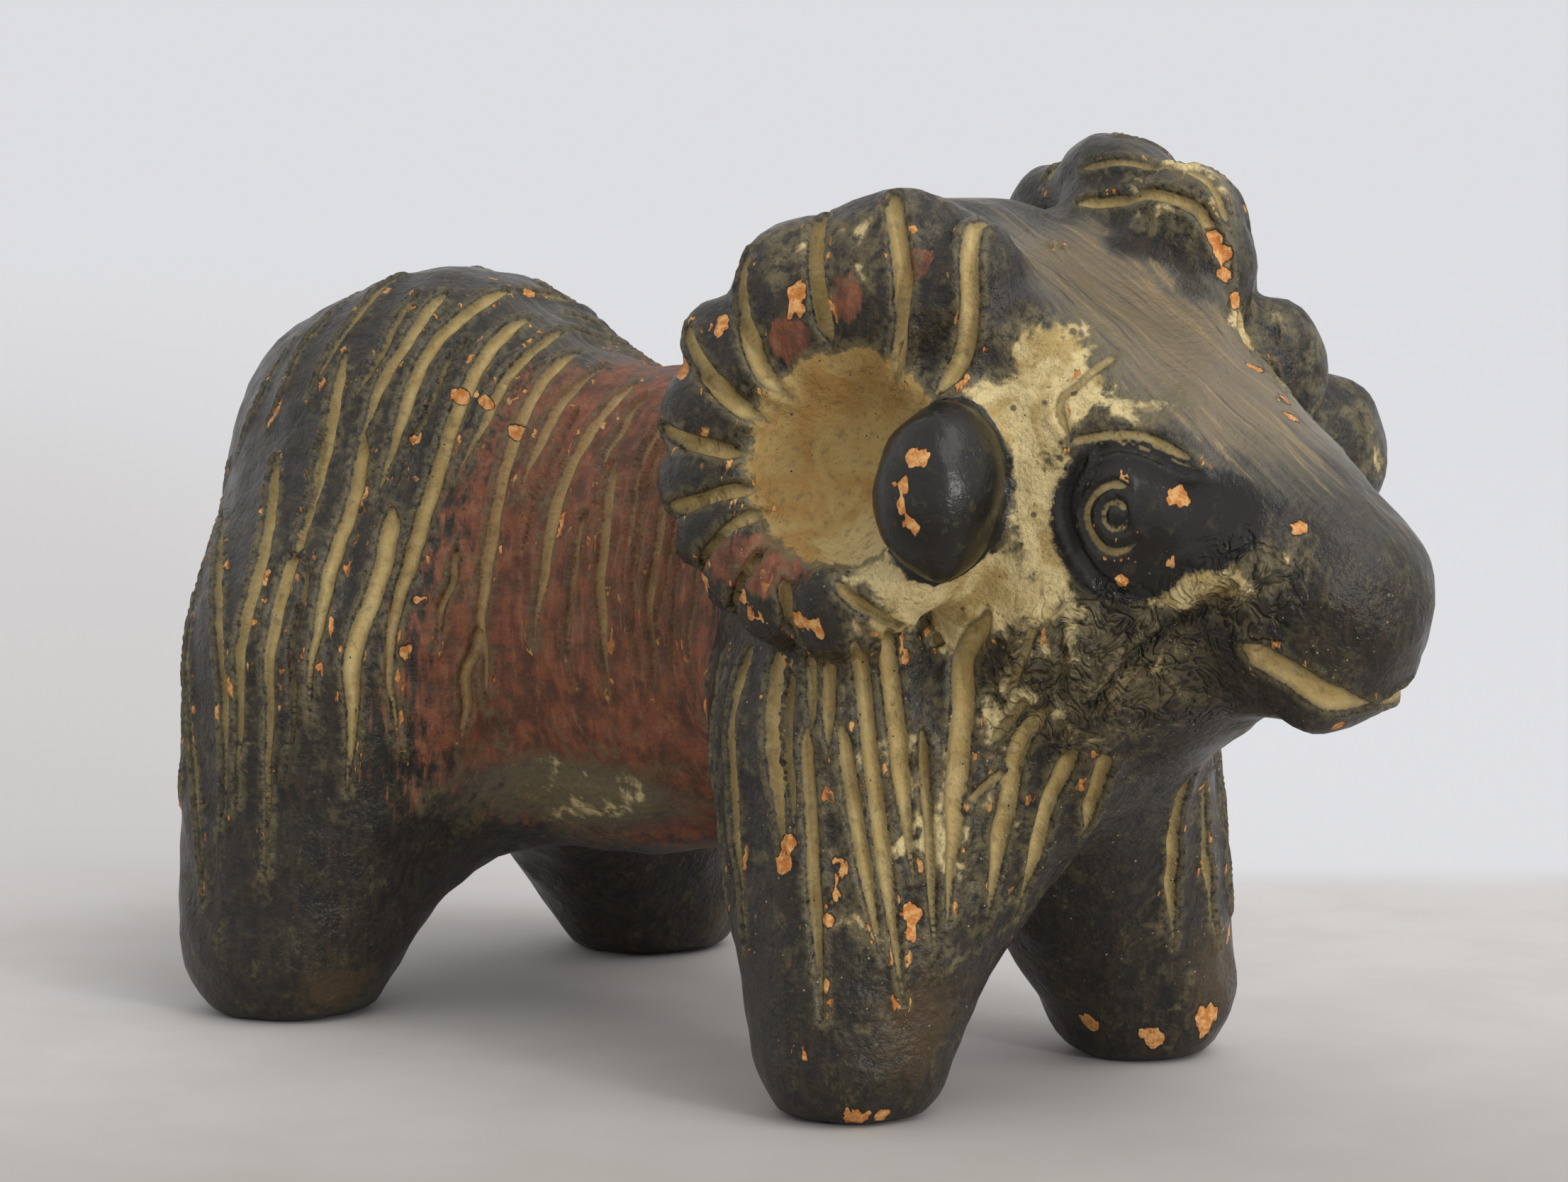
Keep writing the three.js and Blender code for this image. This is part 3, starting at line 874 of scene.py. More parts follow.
@dataclass
class Stylus:
    """Everything that is cut into the clay."""

    ram: Ram
    fleece: tuple[FleeceStroke, ...] = (
        FleeceStroke(-45.0, -38.0, -36.5, 22, -32, 1.1, 0.9),
        FleeceStroke(-42.5, -42.0, -42.5, 66, 36, 1.0, 0.8),
        FleeceStroke(-38.5, -37.5, -37.5, 76, 40, 1.1, 0.8),
        FleeceStroke(-34.2, -33.0, -33.0, 80, 46, 1.1, 0.8),
        FleeceStroke(-40.0, -35.0, -31.2, 3, -40, 1.2),
        FleeceStroke(-41.0, -31.0, -29.5, 18, -32, 1.3),
        FleeceStroke(-34.2, -28.6, -28.0, 31, -30, 1.4),
        FleeceStroke(-29.5, -28.0, -26.5, 38, 10, 0.7, 0.6),
        FleeceStroke(-31.2, -26.3, -24.8, 56, -38, 1.4),
        FleeceStroke(-25.1, -23.2, -23.3, 10, -27, 0.7, 0.5),
        FleeceStroke(-29.5, -28.0, -27.8, 74, 45, 0.8, 0.6),
        FleeceStroke(-27.2, -26.2, -26.0, 77, 36, 1.3),
        FleeceStroke(-25.6, -22.8, -21.5, 40, -18, 1.4),
        FleeceStroke(-24.6, -23.5, -21.7, 87, 24, 1.4),
        FleeceStroke(-22.4, -21.4, -21.0, 70, 30, 0.6, 0.5),
        FleeceStroke(-20.2, -18.9, -19.7, 24, -32, 1.7),
        FleeceStroke(-20.7, -18.0, -16.7, 84, -30, 1.5),
        FleeceStroke(-18.5, -16.8, -16.4, 88, 36, 1.1),
        FleeceStroke(-14.6, -14.4, -14.5, 18, -9, 0.7, 0.7),
        FleeceStroke(-12.1, -12.8, -13.6, -4, -35, 1.0, 0.8),
        FleeceStroke(-15.0, -12.4, -11.7, 84, -27, 1.3),
        FleeceStroke(-11.7, -10.8, -10.4, 82, 34, 1.1, 0.8),
        FleeceStroke(-8.8, -8.6, -9.0, 64, 20, 0.6, 0.45),
        FleeceStroke(-6.0, -6.3, -6.9, 76, -9, 1.5, 1.0),
        FleeceStroke(-2.6, -3.1, -3.0, 35, -20, 0.8, 0.55),
        FleeceStroke(-3.0, -2.9, -2.6, 71, 44, 0.9, 0.8),
        FleeceStroke(-1.6, 0.0, 0.3, 50, -22, 1.1, 0.7),
        FleeceStroke(1.0, 1.8, 2.6, 66, 12, 0.8, 0.55),
        FleeceStroke(2.6, 3.4, 3.9, 58, -14, 0.7, 0.45),
        FleeceStroke(5.0, 5.4, 4.9, 46, -20, 0.9, 0.6),
        FleeceStroke(6.6, 6.9, 6.4, 62, 4, 0.7, 0.45),
        FleeceStroke(8.5, 8.0, 7.4, 40, -22, 0.8, 0.45),
        FleeceStroke(11.5, 11.0, 10.2, 30, -26, 0.9, 0.6),
    )
    chest: tuple[UprightStroke, ...] = (
        UprightStroke(-1.5, -12, 28.3, 21, 1.4),
        UprightStroke(2, 1, 28.6, 15, 1.5),
        UprightStroke(10, 13, 32, 15, 1.6),
        UprightStroke(20, 26, 39.2, 15.5, 1.9),
        UprightStroke(41.5, 35, 38, 19, 1.6),
        UprightStroke(50, 37.5, 37, 9.5, 1.4),
        UprightStroke(32, 29, 30, 12, 0.9, 0.7),
        UprightStroke(59, 57.5, 35, 28.5, 1.2),
        UprightStroke(72, 66, 34, 21, 0.9, 0.7),
        UprightStroke(54, 43, 30.3, 13, 1.3),
        UprightStroke(64, 57.5, 30, 8.5, 1.2),
        UprightStroke(65.5, 62, 35.4, 30, 1.0),
        UprightStroke(79, 69, 35.4, 20, 1.6),
        UprightStroke(96, 84, 35.2, 13, 1.4),
        UprightStroke(114, 97, 34.4, 14, 1.0),
        UprightStroke(136, 150, 31.5, 15, 0.9),
    )
    left_chest: tuple[UprightStroke, ...] = (
        UprightStroke(-10, 13, 25.5, 10, 1.3),
        UprightStroke(6, 31, 25, 9.5, 1.3),
        UprightStroke(26, 40, 33, 12, 1.4),
        UprightStroke(44, 50, 35, 13, 1.3),
        UprightStroke(62, 60, 35, 12, 1.3),
        UprightStroke(80, 74, 35, 16, 1.3),
        UprightStroke(100, 88, 34, 15, 1.2),
    )
    rump: tuple[UprightStroke, ...] = (
        UprightStroke(149, 148, 43, 16, 1.1, 0.9, RUMP_AXIS),
        UprightStroke(162, 160, 42, 18, 1.2, 0.9, RUMP_AXIS),
        UprightStroke(175, 172, 45, 20, 1.1, 0.9, RUMP_AXIS),
    )
    eye_at: tuple[float, float] = (52.5, 46.9)
    eye_side: float = -11.0
    rib_stops: int = 36
    rib_reach: float = 12.0
    rib_depth: float = 0.8
    rib_taper: float = 6.0
    face: tuple[FaceLine, ...] = (
        FaceLine(
            ((48.0, -11.9, 52.1), (50.8, -10.6, 52.7), (53.4, -9.3, 52.6), (57.2, -8.0, 50.7)),
            0.8, 0.22,
        ),
        FaceLine(
            ((48.5, -7.6, 58.2), (47.8, -10.5, 56.4), (46.9, -11.8, 54.9), (48.0, -11.9, 52.2)),
            0.8, 0.2,
        ),
        FaceLine(
            (
                (49.4, -11.6, 51.4), (48.2, -12.5, 48.6), (48.7, -12.6, 46.0),
                (51.1, -11.9, 42.5), (53.5, -10.8, 41.2),
            ),
            1.0, 0.45, 0.0,
        ),
        FaceLine(((49.4, -11.6, 51.4), (52.6, -10.0, 51.8), (57.4, -8.2, 50.0)), 0.9, 0.35, 0.0),
        FaceLine(
            ((49.2, -10.6, 32.7), (53.0, -9.8, 36.9), (57.7, -8.9, 40.0), (61.6, -8.6, 41.7)),
            0.8, 0.5, 0.0,
        ),
        FaceLine(((56.0, -9.0, 39.4), (58.6, -8.8, 41.0), (61.6, -8.4, 42.6)), 0.7, 0.35, 0.0),
        FaceLine(((46.5, -13.9, 38.7), (44.5, -13.3, 35.4), (42.6, -12.8, 32.9)), 0.9, 0.4, 0.7),
        FaceLine(((44.2, -12.4, 32.7), (42.6, -12.6, 30.8), (41.0, -12.8, 29.0)), 0.9, 0.4, 0.6),
        FaceLine(((41.6, -12.0, 26.9), (40.6, -12.9, 25.8), (39.7, -13.9, 24.5)), 0.8, 0.4, 0.6),
        FaceLine(((48.4, -13.0, 37.3), (47.9, -12.4, 35.0), (47.1, -11.7, 32.6)), 0.7, 0.35, 0.4),
        FaceLine(((53.3, -9.2, 35.9), (50.6, -9.7, 33.6), (48.2, -10.0, 31.2)), 0.7, 0.35, 0.4),
    )
    left_face: tuple[FaceLine, ...] = (
        FaceLine(
            (
                (33.0, -5.4, 68.1), (39.1, -5.5, 69.1), (44.2, -6.2, 68.2), (46.5, -6.9, 65.4),
                (47.5, -7.7, 61.9),
            ),
            1.1, 0.45,
        ),
        FaceLine(((47.6, -8.3, 60.1), (51.0, -6.8, 57.2), (54.5, -5.0, 54.9)), 0.9, 0.35, 0.3),
        FaceLine(((32.0, -7.2, 70.6), (37.4, -7.4, 72.0), (41.6, -7.6, 70.9)), 0.8, 0.35, 0.6),
        FaceLine(((41.8, -7.9, 71.1), (44.7, -8.3, 69.6), (46.2, -8.6, 67.2)), 0.9, 0.35),
    )
    mouth: FaceLine = FaceLine(
        (
            (61.6, -7.5, 37.8), (63.7, -6.9, 36.6), (65.2, -6.0, 35.7), (66.2, -4.4, 34.6),
            (67.0, -2.2, 33.8), (67.4, -0.4, 33.4),
        ),
        2.3, 0.4, 0.8, 2.6,
    )

    def ring(self, radius: float, turns: Rise, width: float, depth: float) -> FaceLine:
        """One ring of the eye.

        Args:
            radius: The ring's radius.
            turns: The angles above the nose at its start and its end.
            width: The groove's width.
            depth: The groove's depth.

        Returns:
            The ring as a line on the face.
        """
        x, z = self.eye_at
        stops = tuple(
            (x + radius * math.cos(turn), self.eye_side, z + radius * math.sin(turn))
            for turn in np.radians(np.linspace(*turns, 9))
        )
        return FaceLine(stops, width, depth)

    def rings(self) -> tuple[FaceLine, ...]:
        """The two rings of the eye."""
        return self.ring(0.85, (20, 372), 0.55, 0.15), self.ring(2.15, (75, 325), 0.75, 0.22)

    def rib(self, groove: HornRib, side: Side) -> Stroke:
        """Lays one groove across a horn.

        Args:
            groove: The rib's groove.
            side: Which horn it is on.

        Returns:
            The stroke on the clay.
        """
        horn = self.ram.head.horn
        share = np.linspace(0, 1, self.rib_stops)
        turn = np.radians(groove.outer_turn + (groove.inner_turn - groove.outer_turn) * share)
        radius = groove.outer_radius + (groove.inner_radius - groove.outer_radius) * share
        if side is Side.LEFT:
            radius = radius + horn.left_growth * (1 - horn.round_band(np.degrees(turn), 1.0))
        height = 0 * turn + self.rib_reach
        above = np.column_stack((radius * np.cos(turn), radius * np.sin(turn), height))
        below = above - (0, 0, 1)
        start = self.ram.head.place(horn.from_axes(above), side)
        inward = self.ram.head.place(horn.from_axes(below), side) - start
        path = self.ram.touch(start, inward)
        return Stroke(path, groove.width, self.rib_depth, taper=self.rib_taper)

    def strokes(self) -> list[Stroke]:
        """Lays every stroke on the clay.

        Returns:
            The strokes.
        """
        laid = []
        for side in Side:
            laid += [stroke.lay(self.ram, side) for stroke in self.fleece]
            chest = self.chest if side is Side.RIGHT else self.left_chest
            laid += [stroke.lay(self.ram, side) for stroke in chest]
            laid += [self.rib(groove, side) for groove in self.ram.head.horn.ribs]
            laid += [stroke.lay(self.ram, side) for stroke in self.rump]
            laid += [line.lay(self.ram, side) for line in self.face + self.rings() + (self.mouth,)]
        laid += [line.lay(self.ram, Side.LEFT) for line in self.left_face]
        return laid


# Node trees.


class NodeDesk:
    """Lays nodes in one tree, and gives their output sockets back."""

    def __init__(self, tree: bpy.types.NodeTree) -> None:
        """Takes the tree that is worked on."""
        self.tree = tree

    def node(
        self, kind: str, inputs: dict[str, object] | None = None, **settings: object
    ) -> bpy.types.Node:
        """Adds a node.

        Args:
            kind: The node's type.
            inputs: Sockets or values for its inputs, by the inputs' identifiers.
            **settings: The node's own settings.

        Returns:
            The new node.
        """
        node = self.tree.nodes.new(kind)
        for name, value in settings.items():
            setattr(node, name, value)
        for key, value in (inputs or {}).items():
            socket = next(s for s in node.inputs if s.identifier == key)
            if isinstance(value, bpy.types.NodeSocket):
                self.tree.links.new(value, socket)
            else:
                socket.default_value = value
        return node

    def maths(self, operation: str, a: object, b: object = 0.0, c: object = 0.0) -> Socket:
        """One step of arithmetic."""
        inputs = {"Value": a, "Value_001": b, "Value_002": c}
        return self.node("ShaderNodeMath", inputs, operation=operation).outputs[0]

    def times(self, a: object, b: object) -> Socket:
        """One value times another."""
        return self.maths("MULTIPLY", a, b)

    def span(
        self, value: object, low: object, high: object, to: object = 1.0, smooth: bool = True
    ) -> Socket:
        """A clamped step of a value.

        Args:
            value: What is compared with the limits.
            low: Where the step is 0.
            high: Where it has its full height, which may lie below the other limit.
            to: Its full height.
            smooth: Whether its ends are rounded.

        Returns:
            The step's height.
        """
        kind = "SMOOTHSTEP" if smooth else "LINEAR"
        inputs = {"Value": value, "From Min": low, "From Max": high, "To Min": 0.0, "To Max": to}
        node = self.node("ShaderNodeMapRange", inputs, interpolation_type=kind)
        return node.outputs["Result"]


def rgb(red: int, green: int, blue: int) -> Colour:
    """A colour for a shader.

    Args:
        red: The red of its display value, from 0 to 255.
        green: The green.
        blue: The blue.

    Returns:
        The linear colour, opaque.
    """
    values = [value / 255 for value in (red, green, blue)]
    linear = [v / 12.92 if v <= 0.04045 else ((v + 0.055) / 1.055) ** 2.4 for v in values]
    return (*linear, 1.0)


class ShaderDesk(NodeDesk):
    """A desk for a material, with its patterns measured in millimetres."""

    def __init__(self, material: bpy.types.Material) -> None:
        """Clears a material's tree and takes it.

        Args:
            material: The material.
        """
        material.use_nodes = True
        super().__init__(material.node_tree)
        self.tree.nodes.clear()
        place = self.node("ShaderNodeTexCoord").outputs["Object"]
        self.where = self.scaled(place, (1 / MM,) * 3)

    def scaled(self, vector: object, scale: Point) -> Socket:
        """A vector, scaled along each axis."""
        return self.node("ShaderNodeMapping", {"Vector": vector, "Scale": scale}).outputs["Vector"]

    def mark(self, mark: Mark) -> Socket:
        """One of the skin's own attributes."""
        return self.node("ShaderNodeAttribute", attribute_name=mark.value).outputs["Fac"]

    def most(self, a: object, b: object) -> Socket:
        """The greater of two values."""
        return self.maths("MAXIMUM", a, b)

    def ragged(self, mark: object, noise: object, reach: float) -> Socket:
        """A mark, pushed to and fro by a noise."""
        return self.maths("MULTIPLY_ADD", self.maths("SUBTRACT", noise, 0.5), reach, mark)

    def winding(self, noise: object) -> Socket:
        """How far a noise is from its middle, which it crosses along winding lines."""
        return self.maths("ABSOLUTE", self.maths("SUBTRACT", noise, 0.5))

    def noise(
        self, scale: float, detail: float = 3.0, roughness: float = 0.55,
        distortion: float = 0.0, where: object = None,
    ) -> Socket:
        """Soft noise.

        Args:
            scale: Its frequency per millimetre.
            detail: How many finer noises are added to it.
            roughness: How strong the finer ones are.
            distortion: How much it is drawn out of shape.
            where: The place at which it is read, or None for the plain one.

        Returns:
            The noise, from 0 to 1.
        """
        inputs = {
            "Vector": where or self.where,
            "Scale": scale,
            "Detail": detail,
            "Roughness": roughness,
            "Distortion": distortion,
        }
        return self.node("ShaderNodeTexNoise", inputs).outputs["Fac"]

    def dots(self, scale: float, radius: float, chance: float) -> Socket:
        """Small round dots, one at most in each cell.

        Args:
            scale: Cells per millimetre.
            radius: The dots' radius as a share of a cell.
            chance: What share of the cells has a dot.

        Returns:
            A socket that is 1 in a dot and 0 outside.
        """
        cells = self.node("ShaderNodeTexVoronoi", {"Vector": self.where, "Scale": scale})
        chosen = self.node("ShaderNodeSeparateColor", {"Color": cells.outputs["Color"]})
        picked = self.maths("LESS_THAN", chosen.outputs["Red"], chance)
        size = self.span(chosen.outputs["Green"], -0.6, 1.0, radius, smooth=False)
        inside = self.span(cells.outputs["Distance"], size, self.times(size, 0.6))
        return self.times(inside, picked)

    def tint(self, share: object, below: object, above: object) -> Socket:
        """Lays one colour over another.

        Args:
            share: How much of the upper one shows.
            below: The lower colour.
            above: The upper colour.

        Returns:
            The mixed colour.
        """
        inputs = {"Factor_Float": share, "A_Color": below, "B_Color": above}
        mix = self.node("ShaderNodeMix", inputs, data_type="RGBA")
        return next(out for out in mix.outputs if out.identifier == "Result_Color")

    def surface(self, inputs: dict[str, object]) -> None:
        """Feeds the surface's shader, and closes the tree."""
        shader = self.node("ShaderNodeBsdfPrincipled", inputs)
        self.node("ShaderNodeOutputMaterial", {"Surface": shader.outputs["BSDF"]})


@dataclass(frozen=True)
class WornSlip:
    """Dark slip over fired clay, with pale wash in its grooves, chips and brown rubbing."""

    name: str = "worn dark slip over fired clay"
    black: Colour = rgb(33, 31, 27)
    brown: Colour = rgb(58, 48, 37)
    dust: Colour = rgb(90, 80, 55)
    fill: Colour = rgb(174, 149, 94)
    pale_fill: Colour = rgb(194, 172, 120)
    film: Colour = rgb(104, 94, 66)
    wash: Colour = rgb(210, 190, 138)
    ochre: Colour = rgb(160, 123, 67)
    terracotta: Colour = rgb(190, 118, 56)
    pale_clay: Colour = rgb(218, 166, 104)
    russet: Colour = rgb(130, 78, 54)
    pink: Colour = rgb(158, 110, 78)
    umber: Colour = rgb(88, 56, 40)
    grey: Colour = rgb(84, 80, 71)
    tan: Colour = rgb(124, 108, 82)
    glaze: Colour = rgb(68, 54, 34)
    sand_and_glints: Colour = rgb(186, 178, 150)
    comb_slope: float = Head.bridge_slope
    sheen: float = 0.36

    def make(self) -> bpy.types.Material:
        """Builds the material.

        Returns:
            The material.
        """
        material = bpy.data.materials.new(self.name)
        SlipLayers(material, self).build()
        return material


class SlipLayers(ShaderDesk):
    """The layers of the worn slip in one material, each laid over the ones before it."""

    def __init__(self, material: bpy.types.Material, finish: WornSlip) -> None:
        """Lays the noises that the layers share.

        Args:
            material: The material.
            finish: The colours and the sheen.
        """
        super().__init__(material)
        self.finish = finish
        self.colour: Colour | Socket = finish.black
        self.groove = self.mark(Mark.GROOVE)
        self.patch = self.noise(0.45, 3, 0.6)
        self.fine = self.noise(1.6, 3, 0.7)
        self.streaks = self.noise(1.0, 3, 0.65, where=self.scaled(self.where, (1.3, 1.3, 0.2)))
        self.mottle = self.noise(0.8, 4, 0.66, 0.4)
        self.clouds = self.noise(0.28, 3, 0.55, 0.8)

    def lay(self, share: object, colour: object) -> None:
        """Lays one colour over the ones before it."""
        self.colour = self.tint(share, self.colour, colour)

    def build(self) -> None:
        """Lays every layer, from the slip to the pale grains and painted glints, and feeds the shader.
        """
        self.slip()
        russet = self.brown_waist()
        self.glazed_shins()
        self.rubbed_clay_and_painted_light()
        washed, film, laid = self.wash()
        crawl = self.crawled_jaw()
        self.bare_grooves(russet)
        dish = self.horn_dish(washed)
        ink = self.glossy_slip()
        filled = self.filled_grooves(russet)
        pale = self.most(self.most(filled, laid), dish)
        self.pinholes(pale, self.most(laid, film))
        chips = self.chips()
        self.sand_and_glints()
        matt = self.most(self.most(pale, chips), self.times(russet, 0.6))
        self.surface(
            {
                "Base Color": self.colour,
                "Roughness": self.roughness(matt, ink),
                "Specular IOR Level": self.finish.sheen,
                "Normal": self.relief(crawl, chips),
            }
        )

    def slip(self) -> None:
        """The slip itself: black, worn brown in streaks, with a grey bloom."""
        self.lay(self.span(self.streaks, 0.45, 0.7), self.finish.brown)
        bloom = self.times(self.span(self.patch, 0.4, 0.7), self.span(self.streaks, 0.6, 0.42))
        self.lay(self.times(bloom, self.span(self.fine, 0.36, 0.6, 0.75)), self.finish.dust)

    def brown_waist(self) -> Socket:
        """Russet round the waist and in a few spots, streaked like the brush that laid it.

        Returns:
            How much of it lies at each place.
        """
        finish = self.finish
        russet = self.span(self.ragged(self.mark(Mark.RUSSET), self.streaks, 1.3), 0.3, 0.6)
        warm = self.tint(self.span(self.patch, 0.34, 0.62), finish.umber, finish.russet)
        warm = self.tint(self.span(self.streaks, 0.5, 0.72, 0.5), warm, finish.pink)
        warm = self.tint(self.span(self.streaks, 0.48, 0.32, 0.7), warm, finish.umber)
        self.lay(russet, warm)
        return russet

    def glazed_shins(self) -> None:
        """Thin brown glaze at the shins."""
        glazed = self.ragged(self.mark(Mark.UMBER), self.mottle, 1.2)
        self.lay(self.span(glazed, 0.3, 0.7), self.finish.glaze)

    def rubbed_clay_and_painted_light(self) -> None:
        """Smooth clay worn by rubbing on the spine and the forehead, combed lengthwise; the same
        lighter grey and tan also paint light: sky-light on the spine's top, light on the nose front,
        and bounce light from the table on the belly.
        """
        finish = self.finish
        smooth = self.mark(Mark.SMOOTH)
        slope = (0.0, -math.radians(finish.comb_slope), 0.0)
        along = self.node("ShaderNodeMapping", {"Vector": self.where, "Rotation": slope})
        comb = self.scaled(along.outputs["Vector"], (0.025, 1.0, 0.4))
        combed = self.noise(1.3, 3, 0.75, where=comb)
        lines = self.times(self.span(combed, 0.6, 0.64), self.span(combed, 0.68, 0.64))
        tanned = self.span(self.ragged(smooth, combed, 1.6), 0.4, 1.3)
        rubbed_and_lit = self.tint(tanned, finish.grey, finish.tan)
        rubbed_and_lit = self.tint(self.times(lines, 0.35), rubbed_and_lit, finish.fill)
        rubbed_and_lit = self.tint(self.span(combed, 0.4, 0.34, 0.6), rubbed_and_lit, finish.brown)
        self.lay(self.span(self.ragged(smooth, combed, 0.8), 0.0, 0.9), rubbed_and_lit)

    def wash(self) -> tuple[Socket, Socket, Socket]:
        """A film of wash round the grooves and over the cheek, then the wash itself.

        Returns:
            How washed each place is, and how much of the film and of the wash lies there.
        """
        finish = self.finish
        beside = self.span(self.ragged(self.groove, self.mottle, 2.2), -0.95, 0.1)
        beside = self.times(beside, self.mark(Mark.FILL))
        beside = self.times(beside, self.span(self.groove, 0.1, -0.12))
        washed = self.ragged(self.ragged(self.mark(Mark.WASH), self.clouds, 1.7), self.mottle, 0.8)
        film = self.most(beside, self.span(washed, 0.1, 0.5))
        film = self.times(film, self.span(self.fine, 0.3, 0.56, 0.9))
        self.lay(film, finish.film)
        laid = self.span(washed, 0.5, 0.78)
        cream = self.tint(self.span(self.clouds, 0.38, 0.6), finish.fill, finish.wash)
        cream = self.tint(self.span(self.winding(self.mottle), 0.03, 0.0, 0.4), cream, finish.film)
        cream = self.tint(self.span(self.fine, 0.4, 0.28, 0.7), cream, finish.film)
        self.lay(laid, cream)
        return washed, film, laid

    def crawled_jaw(self) -> Socket:
        """Crawled slip on the jaw, with wash caught in its creases.

        Returns:
            How high it stands.
        """
        crawled = self.mark(Mark.CRAWL)
        crawl = self.span(self.winding(self.noise(0.5, 2, 0.5, 0.9)), 0.0, 0.14)
        crawl = self.times(crawl, crawled)
        creases = self.maths("SUBTRACT", crawled, crawl)
        self.lay(self.span(creases, 0.45, 1.0, 0.5), self.finish.film)
        return crawl

    def bare_grooves(self, russet: Socket) -> None:
        """Bare grooves, dark where the slip pooled, or brown in the russet."""
        pooled = self.tint(russet, self.finish.black, self.finish.umber)
        self.lay(self.span(self.groove, -0.15, 0.3, 0.6), pooled)

    def horn_dish(self, washed: Socket) -> Socket:
        """The smooth ochre hollow of the horn, paler at the foot, with a mottled rim.

        Args:
            washed: How washed each place is.

        Returns:
            Where the hollow's own colour lies.
        """
        finish = self.finish
        hollow = self.ragged(self.mark(Mark.DISH), self.mottle, 1.1)
        self.lay(self.span(hollow, 0.12, 0.4, 0.85), finish.film)
        dish = self.span(hollow, 0.42, 0.62)
        ochre = self.tint(self.span(self.clouds, 0.3, 0.7), finish.ochre, finish.fill)
        ochre = self.tint(self.span(washed, 0.0, 1.0), ochre, finish.pale_fill)
        ochre = self.tint(self.span(self.fine, 0.5, 0.3, 0.5), ochre, finish.film)
        self.lay(dish, ochre)
        return dish

    def glossy_slip(self) -> Socket:
        """Dark glossy slip that keeps the wash off the eye and the boss.

        Returns:
            Where it lies.
        """
        finish = self.finish
        ink = self.span(self.ragged(self.mark(Mark.INK), self.fine, 0.4), 0.4, 0.55)
        self.lay(ink, self.tint(self.span(self.mottle, 0.55, 0.7, 0.3), finish.black, finish.dust))
        return ink

    def filled_grooves(self, russet: Socket) -> Socket:
        """Wash that fills the grooves, worn away in places, pinker in the russet, and darker towards
        the groove's walls as painted shade over the film seen there.

        Args:
            russet: How much russet lies at each place.

        Returns:
            How filled each place is.
        """
        finish = self.finish
        filled = self.span(self.ragged(self.groove, self.fine, 0.4), 0.0, 0.16)
        worn = self.ragged(self.mark(Mark.FILL), self.noise(0.3, 3, 0.5), 1.1)
        filled = self.times(filled, self.span(worn, 0.25, 0.6))
        paste = self.tint(self.span(self.patch, 0.35, 0.7), finish.fill, finish.pale_fill)
        paste = self.tint(self.span(self.mottle, 0.5, 0.72, 0.55), paste, finish.film)
        # Painted shade: the fill darkens to the film colour towards the groove's walls, over the film
        # that lies there.
        paste = self.tint(self.span(self.groove, 0.6, 0.0, 0.75), paste, finish.film)
        paste = self.tint(self.times(russet, 0.25), paste, finish.pink)
        self.lay(filled, paste)
        return filled

    def pinholes(self, pale: Socket, washed: Socket) -> None:
        """Pinholes in everything pale, and wider pits in the wash and its film.

        Args:
            pale: How pale each place is.
            washed: How much wash or film lies there.
        """
        holes = self.times(self.dots(1.1, 0.13, 0.4), pale)
        pits = self.times(self.dots(0.55, 0.24, 0.4), washed)
        self.lay(self.most(holes, self.times(pits, 0.75)), self.finish.black)

    def chips(self) -> Socket:
        """Chips down to the fired clay, beside the grooves and where the slip was knocked.

        Returns:
            Where the clay is bare.
        """
        finish = self.finish
        bank = self.times(self.span(self.groove, -0.95, -0.55), self.span(self.groove, -0.02, -0.2))
        flaking = self.noise(0.7, 2, 0.6, where=self.scaled(self.where, (1.3, 1.3, 0.6)))
        flaked = self.times(bank, self.span(flaking, 0.63, 0.66))
        flaked = self.times(flaked, self.mark(Mark.FILL))
        knocked = self.ragged(self.mark(Mark.CHIP), flaking, 1.3)
        chips = self.most(flaked, self.span(knocked, 0.3, 0.36))
        self.lay(self.span(knocked, 0.12, 0.28, 0.8), finish.black)
        self.lay(chips, self.tint(self.span(self.fine, 0.4, 0.62), finish.terracotta, finish.pale_clay))
        return chips

    def sand_and_glints(self) -> None:
        """Pale grains that stand out of the slip, denser on the chest and forelegs, where the same
        specks also paint glints.
        """
        specks = self.times(self.dots(1.5, 0.17, 0.42), self.mark(Mark.SAND_AND_GLINTS))
        self.lay(self.times(specks, 0.7), self.finish.sand_and_glints)

    def roughness(self, matt: Socket, ink: Socket) -> Socket:
        """How rough the surface is, from how matt it is and where the glossy slip lies."""
        dulled = self.times(self.span(self.patch, 0.3, 0.7, 0.16), self.maths("SUBTRACT", 1.0, ink))
        return self.maths("ADD", self.maths("MULTIPLY_ADD", matt, 0.42, 0.3), dulled)

    def relief(self, crawl: Socket, chips: Socket) -> Socket:
        """Relief too fine for the mesh, with its heights in millimetres.

        Args:
            crawl: How high the crawled slip stands.
            chips: Where the clay is bare.

        Returns:
            The direction in which the relief faces.
        """
        height = self.times(self.patch, 0.35)
        height = self.maths("MULTIPLY_ADD", self.fine, 0.2, height)
        height = self.maths("MULTIPLY_ADD", crawl, 0.5, height)
        height = self.times(height, self.span(self.mark(Mark.INK), 1.4, 0.3))
        height = self.maths("MULTIPLY_ADD", chips, -0.16, height)
        bump = self.node("ShaderNodeBump", {"Height": height, "Distance": MM, "Strength": 1.0})
        return bump.outputs["Normal"]


